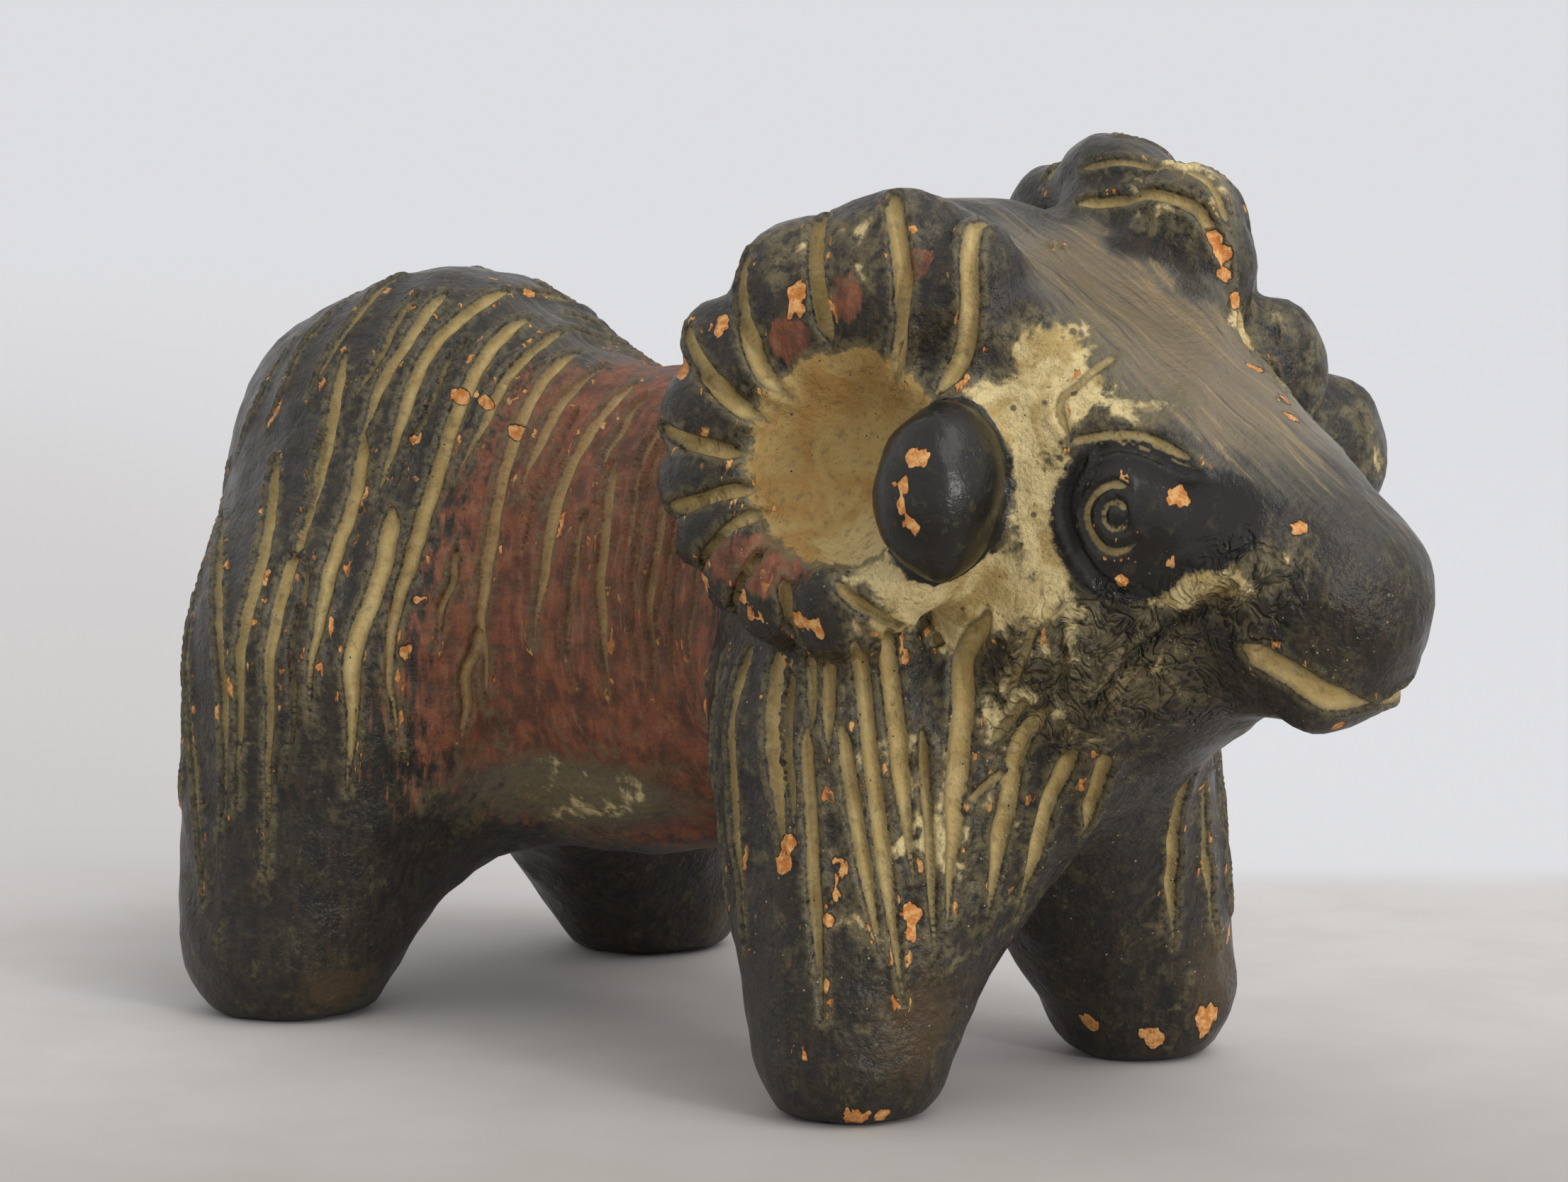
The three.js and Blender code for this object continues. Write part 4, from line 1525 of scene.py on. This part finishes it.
@dataclass
class StrokePress:
    """The node tree that presses the stylus strokes into the skin."""

    material: bpy.types.Material
    burr_height: float = 0.26
    burr_width: float = 0.8
    crest_share: float = 0.35
    lip: float = 0.1
    wall_share: float = 0.8

    def tree(self) -> bpy.types.NodeTree:
        """Builds the tree.

        Returns:
            The tree.
        """
        tree = bpy.data.node_groups.new("press strokes", "GeometryNodeTree")
        given_sockets = {
            "Geometry": "NodeSocketGeometry",
            "Strokes": "NodeSocketObject",
            "Burr Height": "NodeSocketFloat",
            "Burr Width": "NodeSocketFloat",
            "Clay": "NodeSocketMaterial",
        }
        for name, kind in given_sockets.items():
            tree.interface.new_socket(name, in_out="INPUT", socket_type=kind)
        tree.interface.new_socket("Geometry", in_out="OUTPUT", socket_type="NodeSocketGeometry")
        desk = NodeDesk(tree)
        given = desk.node("NodeGroupInput").outputs
        lines = desk.node("GeometryNodeObjectInfo", {"Object": given["Strokes"]}).outputs["Geometry"]
        nearest = desk.node(
            "GeometryNodeProximity", {"Target": lines}, target_element="EDGES"
        ).outputs
        index = desk.node(
            "GeometryNodeSampleNearest",
            {"Geometry": lines, "Sample Position": nearest["Position"]},
        ).outputs["Index"]

        def of_stroke(name: str) -> Socket:
            """Reads the nearest stroke.

            Args:
                name: One of its attributes.

            Returns:
                The attribute's value.
            """
            value = desk.node("GeometryNodeInputNamedAttribute", {"Name": name})
            inputs = {"Geometry": lines, "Value": value.outputs["Attribute"], "Index": index}
            return desk.node("GeometryNodeSampleIndex", inputs).outputs["Value"]

        half = of_stroke("half_width")
        inside = desk.maths("SUBTRACT", half, nearest["Distance"])
        sunk = desk.span(inside, -self.lip, desk.times(half, self.wall_share), of_stroke("depth"))
        foot = desk.times(given["Burr Width"], -1.0)
        crest = desk.times(given["Burr Width"], -self.crest_share)
        burr = desk.times(desk.span(inside, foot, crest), desk.span(inside, 0.0, crest))
        lift = desk.maths("MULTIPLY_ADD", burr, given["Burr Height"], desk.times(sunk, -1.0))
        normal = desk.node("GeometryNodeInputNormal").outputs["Normal"]
        offset = desk.node("ShaderNodeVectorMath", {"Vector": normal, "Scale": lift}, operation="SCALE")
        steps = (
            ("GeometryNodeStoreNamedAttribute", {"Name": Mark.GROOVE.value, "Value": inside}),
            ("GeometryNodeStoreNamedAttribute", {"Name": Mark.FILL.value, "Value": of_stroke("fill")}),
            ("GeometryNodeSetPosition", {"Offset": offset.outputs["Vector"]}),
            ("GeometryNodeRealizeInstances", {}),
            ("GeometryNodeSetMaterial", {"Material": given["Clay"]}),
        )
        geometry = given["Geometry"]
        for kind, inputs in steps:
            geometry = desk.node(kind, {"Geometry": geometry, **inputs}).outputs["Geometry"]
        output = desk.node("NodeGroupOutput")
        tree.links.new(geometry, output.inputs[0])
        return tree

    def press(self, clay: bpy.types.Object, strokes: bpy.types.Object) -> bpy.types.Mesh:
        """Presses the strokes into the clay.

        Args:
            clay: The skin.
            strokes: The strokes as edges with their half width, depth and fill.

        Returns:
            The pressed skin as a plain mesh.
        """
        modifier = clay.modifiers.new("press strokes", "NODES")
        modifier.node_group = self.tree()
        values = {
            "Strokes": strokes,
            "Burr Height": self.burr_height,
            "Burr Width": self.burr_width,
            "Clay": self.material,
        }
        for item in modifier.node_group.interface.items_tree:
            if item.in_out == "INPUT" and item.name in values:
                modifier[item.identifier] = values[item.name]
        bpy.context.view_layer.update()
        graph = bpy.context.evaluated_depsgraph_get()
        mesh = bpy.data.meshes.new_from_object(clay.evaluated_get(graph), depsgraph=graph)
        clay.modifiers.remove(modifier)
        return mesh


@dataclass(frozen=True)
class Patch:
    """A soft-edged patch on the clay, by its middle, its half sizes and its strength."""

    at: Point
    half: Point
    strength: float = 1.0

    def share(self, points: np.ndarray) -> np.ndarray:
        """How far inside the patch each place is, from its strength in the middle to 0 at
        its rim and below 0 outside."""
        reach = np.linalg.norm((points - self.at) / self.half, axis=1)
        return self.strength * np.clip(1 - reach, -1, 1)


@dataclass
class Painter:
    """Works out where each finish lies on the skin. A patch with its middle on the left is
    for the left side only, and any other is given for the right side and mirrored."""

    ram: Ram
    wash: tuple[Patch, ...] = (
        Patch((45.6, -12.6, 58.2), (4.2, 9, 4.8), 1.6),
        Patch((47.0, -11.5, 55.8), (4.0, 8, 4.0), 1.5),
        Patch((44.5, -15.0, 53.4), (7.5, 8, 4.5), 1.7),
        Patch((46.0, -13.0, 48.0), (6.5, 8, 10.0), 0.9),
        Patch((47.7, -12.9, 45.6), (3.0, 8, 8.5), 1.6),
        Patch((42.0, -17.0, 41.0), (8.5, 9, 4.6), 1.9),
        Patch((39.0, -18.0, 38.0), (6.0, 9, 3.8), 1.6),
        Patch((52.0, -10.0, 35.5), (9.0, 10, 7.0), 0.6),
        Patch((41.0, 11.5, 68.0), (9.0, 8.5, 6.5), 1.2),
        Patch((46.0, 23.0, 49.5), (6.0, 7.0, 7.0), 1.8),
        Patch((46.0, -13.5, 40.0), (8.0, 8, 6.0), 0.95),
        Patch((36.5, -21.0, 45.5), (7.0, 8, 6.5), 1.3),
        Patch((38.0, -17.0, 24.0), (13.0, 12, 17.0), 0.62),
        Patch((63.5, -8.0, 44.6), (3.6, 5, 2.8), 0.8),
        Patch((59.2, -9.2, 42.9), (4.6, 6, 3.4), 2.0),
        Patch((56.3, -9.6, 42.2), (4.0, 6, 3.0), 1.7),
        Patch((52.0, -9.0, 54.6), (5.0, 6, 2.8), 0.8),
        Patch((30.0, -20.0, 66.5), (11.0, 12, 4.5), 0.75),
        Patch((44.0, -12.0, 32.0), (9.0, 12, 9.0), 0.65),
        # Khaki wash low on the belly, laid stronger to paint part of the bounce light from the table.
        Patch((-5.0, -12.0, 19.5), (17.0, 11, 6.5), 0.62),
        Patch((46.5, 8.5, 58.5), (4.0, 4, 4.5), 1.4),
    )
    # Painted bounce light from the table: a lighter tan patch under the belly.
    belly: Patch = Patch((-5.0, -13.0, 18.8), (16.0, 9.0, 4.8), 1.9)
    reds: tuple[Patch, ...] = (
        Patch((27.4, -20.6, 58.8), (2.2, 5, 2.6), 1.6),
        Patch((32.1, -19.2, 62.2), (2.0, 5, 2.6), 1.5),
        Patch((37.0, -17.4, 64.7), (1.8, 5, 1.8), 1.3),
        Patch((28.0, -24.0, 42.4), (6.5, 6, 3.2), 1.5),
        Patch((43.5, 1.0, 63.4), (2.2, 1.8, 2.2), 1.5),
    )
    glaze: tuple[Patch, ...] = (
        Patch((38.0, -17.0, 8.0), (8.0, 7, 8.0), 1.0),
        Patch((-22.0, -22.0, 3.0), (8.0, 8, 5.0), 0.8),
    )
    crawls: tuple[Patch, ...] = (
        Patch((53.0, -10.0, 36.0), (9.0, 10, 8.0), 2.0),
        Patch((61.5, -8.5, 42.0), (6.0, 6, 5.5), 2.0),
        Patch((46.0, -13.0, 33.0), (7.0, 8, 7.0), 1.5),
    )
    ink: tuple[Patch, ...] = (
        Patch((52.9, -11.0, 46.9), (7.6, 9, 8.0), 2.2),
        Patch((58.0, -9.0, 46.9), (7.0, 8, 5.4), 1.6),
    )
    head_chips: tuple[tuple[Point, float], ...] = (
        ((43, -23, 51.5), 1.3), ((42, -24, 49.5), 1.0), ((42.5, -24, 48), 1.0),
        ((43.5, -24, 46.5), 1.0), ((56.5, -9.5, 48.5), 1.3), ((56, -10, 44), 0.9),
        ((52.5, -11, 42.5), 0.9), ((64.5, -5.5, 46.5), 0.9), ((65, -2, 32.5), 0.9),
        ((51.5, 4.5, 56.5), 1.0), ((55.5, 3, 54.5), 1.0), ((57.5, 2, 53.5), 1.0),
    )
    horn_chips: tuple[tuple[Point, float], ...] = (
        ((28, -20.5, 62.5), 1.2), ((28, -20.5, 61), 1.1), ((21.5, -22, 60), 1.4),
        ((18, -22.5, 56.5), 1.5), ((22.5, -25, 40.5), 1.6), ((27, -25, 40), 1.2),
        ((28, -25, 38.5), 1.2), ((33.5, -24, 38), 1.3), ((32, -24, 38.5), 1.1),
        ((46, 6.5, 66.5), 1.2), ((46.5, 7, 65), 1.1), ((47, 7, 63.5), 1.1), ((47.5, 8, 61.5), 1.1),
    )
    body_chips: tuple[tuple[Point, float], ...] = (
        ((-19.5, -11, 51), 1.0), ((-17, -10.5, 50.5), 0.8), ((-13.5, -10.5, 48.5), 0.9),
        ((-21, -14.5, 47.5), 0.9), ((-16, -18.5, 35), 0.9), ((-16, -20, 31), 1.0),
        ((-27, -0.5, 59.5), 0.9), ((-24, 0.5, 58), 1.0),
    )
    leg_chips: tuple[tuple[Point, float], ...] = (
        ((30, -23, 21.5), 1.1), ((30, -23, 20), 1.1), ((34, -21.5, 20), 1.0),
        ((34, -21.5, 18), 0.8), ((38, -18, 16.5), 1.2), ((38, -18, 15), 0.9), ((33.5, -22.5, 16), 0.8),
        ((32, -24, 6), 1.0), ((34.5, -20.5, 1), 1.7), ((36, -19, 1), 1.2), ((31.5, 9, 3.5), 1.3),
        ((35.5, 12, 2.5), 1.6), ((37.5, 16, 3.5), 1.9), ((37.5, 19, 10), 1.0),
    )

    waist_along: tuple[Rise, Rise] = ((-23, -8), (19, 11))
    waist_up: tuple[Rise, Rise] = ((10, 21), (62, 54))
    spine_along: tuple[Rise, Rise] = ((-30, -14), (32, 24))
    spine_across: Rise = (7.0, 3.0)
    spine_facing: Rise = (0.6, 0.92)
    spine_above: float = 40.0
    bridge_along: Rise = (26.0, 38.0)
    bridge_across: Rise = (14.0, 6.0)
    bridge_facing: Rise = (0.55, 0.97)
    bridge_fades: Rise = (56.0, 66.0)
    bridge_faded: float = 0.6
    nose_along: Rise = (56.0, 64.0)
    nose_up: Rise = (36.0, 40.0)
    nose_facing: Rise = (0.2, 0.8)
    nose_painted_light: float = 0.2
    sand_and_glints_along: Rise = (16.0, 24.0)
    sand_and_glints_up: tuple[Rise, Rise] = ((4, 10), (46, 38))
    on_right: Rise = (4.0, 0.0)
    on_left: Rise = (8.0, 12.0)
    boss_rim: Rise = (0.7, 0.1)
    dish_rim: Rise = (2.2, 0.2)
    dish_reach: Rise = (10.0, 6.6)
    dish_lowered: float = 0.8
    dish_front: float = 46.0
    left_wash: float = 0.25
    least_sand: float = 0.15
    spine_smooth: float = 0.7
    waist_smooth: float = 0.5
    spine_worn: float = 0.45

    def marks(self, points: np.ndarray, facing: np.ndarray) -> dict[Mark, np.ndarray]:
        """Works out the marks.

        Args:
            points: The places of the vertices.
            facing: The direction in which the clay faces at each.

        Returns:
            The value of each mark at each vertex.
        """
        folded = to_right_side(points)
        x, y, z = points.T
        level = self.ram.head.level(points)
        on_boss = ease(*self.boss_rim, self.ram.head.bosses(level))
        on_right = ease(*self.on_right, y)
        waist = window(x, *self.waist_along) * window(z, *self.waist_up)
        spine, rubbed_and_lit = self.rubbed_and_lit(points, facing)
        reds = self.most(self.reds, points, points)
        inked = np.clip(self.most(self.ink, points, folded), 0, 1)
        washed = self.most(self.wash, points, folded) * (1 - on_boss * on_right)
        washed = washed * (1 - (1 - self.left_wash) * ease(*self.on_left, y))
        # Denser specks on the chest and forelegs, partly grains and partly painted glints.
        sandy = ease(*self.sand_and_glints_along, x) * window(z, *self.sand_and_glints_up)
        spine_rubbed_and_lit = spine * (self.spine_smooth - self.waist_smooth * waist)
        return {
            Mark.WASH: washed,
            Mark.DISH: self.dish(level) * (1 - on_boss) * (x < self.dish_front),
            Mark.RUSSET: np.maximum(waist * (1 - self.spine_worn * spine), reds),
            # Grey clay worn by rubbing on the spine and the bridge, and painted light: sky-light on the
            # spine's top, light on the nose front, bounce light on the belly.
            Mark.SMOOTH: np.max((spine_rubbed_and_lit, rubbed_and_lit, self.belly.share(folded)), axis=0),
            Mark.CHIP: self.chipped(points),
            Mark.INK: np.maximum(inked, on_boss * on_right),
            Mark.SAND_AND_GLINTS: self.least_sand + (1 - self.least_sand) * sandy,
            Mark.UMBER: self.most(self.glaze, points, folded),
            Mark.CRAWL: np.clip(self.most(self.crawls, points, folded), 0, 1),
        }

    def dish(self, level: np.ndarray) -> np.ndarray:
        """Where the hollow of a horn lies.

        Args:
            level: Places on the level head.

        Returns:
            1 in the hollow, and 0 away from it.
        """
        horn = self.ram.head.horn
        places = horn.along_axes(to_right_side(level))
        reach = np.hypot(places[:, 0], places[:, 1] + self.dish_lowered)
        return ease(*self.dish_rim, np.abs(horn.dish(places))) * ease(*self.dish_reach, reach)

    def rubbed_and_lit(self, points: np.ndarray, facing: np.ndarray) -> tuple[np.ndarray, np.ndarray]:
        """Where the clay is worn smooth along the spine and on the head, and where light is painted:
        the spine's share, picked by facing upward, also paints sky-light on its top, and the head's
        share also paints light on the nose front.

        Args:
            points: The places of the vertices.
            facing: The direction in which the clay faces at each.

        Returns:
            The spine's share and the head's share at each vertex.
        """
        x, y, z = points.T
        forward = facing @ self.ram.head.above()
        across = np.abs(y)
        # Picked by facing upward: worn clay that also paints the sky-light on the spine's top.
        spine = ease(*self.spine_facing, facing[:, 2]) * ease(*self.spine_across, across)
        spine = spine * window(x, *self.spine_along) * (z > self.spine_above)
        bridge = ease(*self.bridge_facing, forward) * ease(*self.bridge_along, x)
        bridge = bridge * ease(*self.bridge_across, across)
        bridge = bridge * (1 - self.bridge_faded * ease(*self.bridge_fades, x))
        # Painted light: the forward-facing nose front gets a share of the lighter tone.
        nose = ease(*self.nose_facing, forward) * ease(*self.nose_along, x) * ease(*self.nose_up, z)
        return spine, np.maximum(bridge, self.nose_painted_light * nose)

    def chipped(self, points: np.ndarray) -> np.ndarray:
        """Works out the chips.

        Args:
            points: The places of the vertices.

        Returns:
            How far inside a chip each vertex is, from 1 in its middle to 0 at its rim.
        """
        share = np.full(len(points), -1.0)
        for at, radius in self.head_chips + self.horn_chips + self.body_chips + self.leg_chips:
            place = self.ram.settle(np.array([at], dtype=float))
            share = np.maximum(share, 1 - np.linalg.norm(points - place, axis=1) / radius)
        return share

    @staticmethod
    def most(patches: tuple[Patch, ...], points: np.ndarray, folded: np.ndarray) -> np.ndarray:
        """The strongest of some patches at each place, on the left where their middle lies there."""
        shares = [patch.share(points if patch.at[1] > LEFT_FROM else folded) for patch in patches]
        return np.max(shares, axis=0)


def store(mesh: bpy.types.Mesh, name: str, values: np.ndarray) -> None:
    """Stores one value at each vertex of a mesh."""
    attribute = mesh.attributes.new(name, "FLOAT", "POINT")
    attribute.data.foreach_set("value", values.astype(np.float32))


def add_object(name: str, data: bpy.types.ID) -> bpy.types.Object:
    """Adds an object to the scene.

    Args:
        name: The object's name.
        data: Its mesh, lamp or camera.

    Returns:
        The object.
    """
    added = bpy.data.objects.new(name, data)
    bpy.context.scene.collection.objects.link(added)
    return added


@dataclass
class Figure:
    """The ram as one closed piece with its finish."""

    name: str = "clay_ram"
    ram: Ram = field(default_factory=Ram)
    low: Point = (-58.0, -33.0, -3.0)
    high: Point = (75.0, 33.0, 78.0)
    cell: float = 1.0
    finest: float = 0.55
    margin: float = 0.45
    halvings: int = 2
    settlings: int = 2

    def mesh_of(self, points: np.ndarray, triangles: np.ndarray) -> bpy.types.Mesh:
        """Makes a mesh.

        Args:
            points: The places of the vertices.
            triangles: The triangles as rows of three indices.

        Returns:
            The mesh.
        """
        mesh = bpy.data.meshes.new(self.name)
        mesh.vertices.add(len(points))
        mesh.vertices.foreach_set("co", points.astype(np.float32).ravel())
        mesh.loops.add(triangles.size)
        mesh.loops.foreach_set("vertex_index", triangles.astype(np.int32).ravel())
        mesh.polygons.add(len(triangles))
        mesh.polygons.foreach_set("loop_start", np.arange(0, triangles.size, 3, dtype=np.int32))
        mesh.polygons.foreach_set("use_smooth", np.ones(len(triangles), bool))
        mesh.update(calc_edges=True)
        return mesh

    @staticmethod
    def strokes_object(strokes: list[Stroke]) -> bpy.types.Object:
        """The strokes as an object of edges.

        Args:
            strokes: The strokes laid on the clay.

        Returns:
            The object, with each vertex's half width, depth and fill.
        """
        places = np.concatenate([stroke.path for stroke in strokes])
        starts = np.cumsum([0] + [len(stroke.path) for stroke in strokes])
        last = set(starts[1:] - 1)
        edges = [(i, i + 1) for i in range(len(places) - 1) if i not in last]
        mesh = bpy.data.meshes.new("strokes")
        mesh.from_pydata(places.tolist(), edges, [])
        halves = [stroke.half_widths() for stroke in strokes]
        depths = [s.depth * np.clip(h / (s.width / 2), 0, 1) for s, h in zip(strokes, halves)]
        fills = [np.full(len(stroke.path), stroke.fill) for stroke in strokes]
        for name, values in (("half_width", halves), ("depth", depths), ("fill", fills)):
            store(mesh, name, np.concatenate(values))
        return add_object("strokes", mesh)

    def refine(
        self, points: np.ndarray, triangles: np.ndarray, strokes: list[Stroke]
    ) -> tuple[np.ndarray, np.ndarray]:
        """Makes the skin finer along the strokes.

        Args:
            points: The places of the vertices.
            triangles: The triangles.
            strokes: The strokes laid on the clay.

        Returns:
            The places and the triangles of the finer skin.
        """
        places = np.concatenate([stroke.path for stroke in strokes])
        halves = np.concatenate([stroke.half_widths() for stroke in strokes])
        tree = KDTree(len(places))
        for i, place in enumerate(places):
            tree.insert(place, i)
        tree.balance()

        def wanted(edges: np.ndarray) -> np.ndarray:
            """Picks the edges that are long and near a stroke.

            Args:
                edges: Each edge's middle and length, as rows of four.

            Returns:
                Whether each edge is picked.
            """
            near = np.zeros(len(edges), bool)
            for i in np.nonzero(edges[:, 3] > self.finest)[0]:
                _, index, distance = tree.find(edges[i, :3])
                near[i] = distance < halves[index] + self.margin + edges[i, 3] / 2
            return near

        for _ in range(self.halvings):
            points, triangles = split_edges(points, triangles, wanted)
        return points, triangles

    def build(self, finish: WornSlip) -> bpy.types.Object:
        """Builds and dresses the figure.

        Args:
            finish: The finish of the clay.

        Returns:
            The finished object, in metres in the part's frame.
        """
        points, triangles = ClaySkin(self.ram.field, self.low, self.high, self.cell).draw()
        strokes = Stylus(self.ram).strokes()
        points = self.ram.settle(points, self.settlings)
        points, triangles = self.refine(points, triangles, strokes)
        points = self.ram.settle(points, self.settlings)
        mesh = self.mesh_of(points, triangles)
        marks = Painter(self.ram).marks(points, self.ram.facing(points))
        for mark, values in marks.items():
            store(mesh, mark.value, values)
        clay = add_object(self.name, mesh)
        carrier = self.strokes_object(strokes)
        pressed = StrokePress(finish.make()).press(clay, carrier)
        bpy.data.objects.remove(carrier)
        pressed.transform(Matrix.Scale(MM, 4) @ Matrix.Translation(Vector(STANCE_TO_ORIGIN)))
        clay.data = pressed
        LOG.info("%s: %d triangles", clay.name, len(pressed.polygons))
        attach(clay, BODY)
        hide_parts(NODE)
        return clay


@dataclass
class Studio:
    """A plain pale floor, soft light, and the camera at the photograph's angle."""

    azimuth: float = 44.9
    elevation: float = 7.43
    distance: float = 0.48
    target: Point = (-0.0007, 0.0, 0.0362)
    image_width: float = 2212.0
    focal_pixels: float = 8500.0
    sensor: float = 36.0
    floor_half: float = 4.0
    sky_colour: Colour = (0.98, 0.985, 1.0, 1.0)
    sky_strength: float = 0.8
    sun_from: Point = (0.6, 0.05, 0.85)
    sun_spread: float = 45.0
    sun_strength: float = 1.0
    window_at: Point = (0.66, -0.08, 0.18)
    window_watts: float = 1.2
    window_size: float = 0.1
    table_depth: float = 0.069
    table: Colour = rgb(206, 203, 200)
    worn_table: Colour = rgb(200, 195, 190)
    shaded_near_table: Colour = rgb(150, 142, 133)
    wall: Colour = rgb(216, 216, 218)
    shaded_wall: Colour = rgb(200, 196, 195)
    edge_blur: Rise = (4.0, 12.0)
    near_shade_fade: Rise = (30.0, -130.0)
    shade_turn: Rise = (-0.02, -0.3)
    shade_depth: Rise = (900.0, 100.0)
    roughness: float = 0.75

    def back(self) -> Vector:
        """The direction from the target to the camera.

        Returns:
            The direction, of length one.
        """
        turn = math.radians(self.azimuth)
        rise = math.radians(self.elevation)
        level = math.cos(rise)
        return Vector((math.sin(turn) * level, -math.cos(turn) * level, math.sin(rise)))

    def camera(self) -> None:
        """Sets up the camera."""
        data = bpy.data.cameras.new("camera")
        data.sensor_width = self.sensor
        data.lens = self.focal_pixels * self.sensor / self.image_width
        data.clip_start = 0.01
        camera = add_object("camera", data)
        camera.location = Vector(self.target) + self.back() * self.distance
        camera.rotation_euler = self.back().to_track_quat("Z", "Y").to_euler()
        bpy.context.scene.camera = camera

    def lamp(self, kind: str, at: Point, energy: float, size: float) -> None:
        """A soft lamp that looks at the figure.

        Args:
            kind: SUN or AREA.
            at: Where it hangs, or the direction it comes from.
            energy: Its strength.
            size: A sun's spread in degrees, or the length of an area's sides.
        """
        data = bpy.data.lights.new(kind.lower(), kind)
        data.energy = energy
        if kind == "SUN":
            data.angle = math.radians(size)
        else:
            data.size = size
        lamp = add_object(kind.lower(), data)
        lamp.location = at
        aim = Vector(at) - Vector(self.target)
        lamp.rotation_euler = aim.to_track_quat("Z", "Y").to_euler()

    def floor_finish(self) -> bpy.types.Material:
        """Table colour up to a soft line behind the figure, and wall colour beyond. The table darkens
        towards the camera as painted shade, and the wall darkens towards its lower left as a painted
        shadow.

        Returns:
            The material.
        """
        material = bpy.data.materials.new("pale floor")
        desk = ShaderDesk(material)
        sine = math.sin(math.radians(self.azimuth))
        cosine = math.cos(math.radians(self.azimuth))
        split = desk.node("ShaderNodeSeparateXYZ", {"Vector": desk.where}).outputs
        depth = desk.maths("MULTIPLY_ADD", split["Y"], cosine, desk.times(split["X"], -sine))
        across = desk.maths("MULTIPLY_ADD", split["Y"], sine, desk.times(split["X"], cosine))
        edge = self.table_depth / MM
        beyond = desk.span(depth, edge - self.edge_blur[0], edge + self.edge_blur[1])
        grain = desk.span(desk.noise(0.06, 4, 0.6), 0.3, 0.7)
        table = desk.tint(grain, self.table, self.worn_table)
        # Painted shade: the table darkens towards the camera.
        table = desk.tint(desk.span(depth, *self.near_shade_fade), table, self.shaded_near_table)
        turned = desk.maths("DIVIDE", across, desk.most(depth, 1.0))
        shade = desk.times(desk.span(turned, *self.shade_turn), desk.span(depth, *self.shade_depth))
        wall = desk.tint(shade, self.wall, self.shaded_wall)
        desk.surface({"Base Color": desk.tint(beyond, table, wall), "Roughness": self.roughness})
        return material

    def floor(self) -> None:
        """Lays the floor."""
        half = self.floor_half
        corners = [(-half, -half, 0), (half, -half, 0), (half, half, 0), (-half, half, 0)]
        mesh = bpy.data.meshes.new("floor")
        mesh.from_pydata(corners, [], [(0, 1, 2, 3)])
        mesh.materials.append(self.floor_finish())
        add_object("floor", mesh)

    def sky(self) -> None:
        """Even light from all round."""
        world = bpy.data.worlds.new("studio")
        world.use_nodes = True
        background = world.node_tree.nodes["Background"]
        background.inputs["Color"].default_value = self.sky_colour
        background.inputs["Strength"].default_value = self.sky_strength
        bpy.context.scene.world = world

    def build(self) -> None:
        """Sets up the floor, the light and the camera."""
        self.floor()
        self.sky()
        self.lamp("SUN", self.sun_from, self.sun_strength, self.sun_spread)
        self.lamp("AREA", self.window_at, self.window_watts, self.window_size)
        self.camera()
        bpy.context.scene.view_settings.view_transform = "Standard"


def main() -> None:
    """Builds the figure and the studio."""
    logging.basicConfig(level=logging.INFO, format="%(message)s")
    Figure().build(WornSlip())
    Studio().build()


if __name__ == "__main__":
    main()
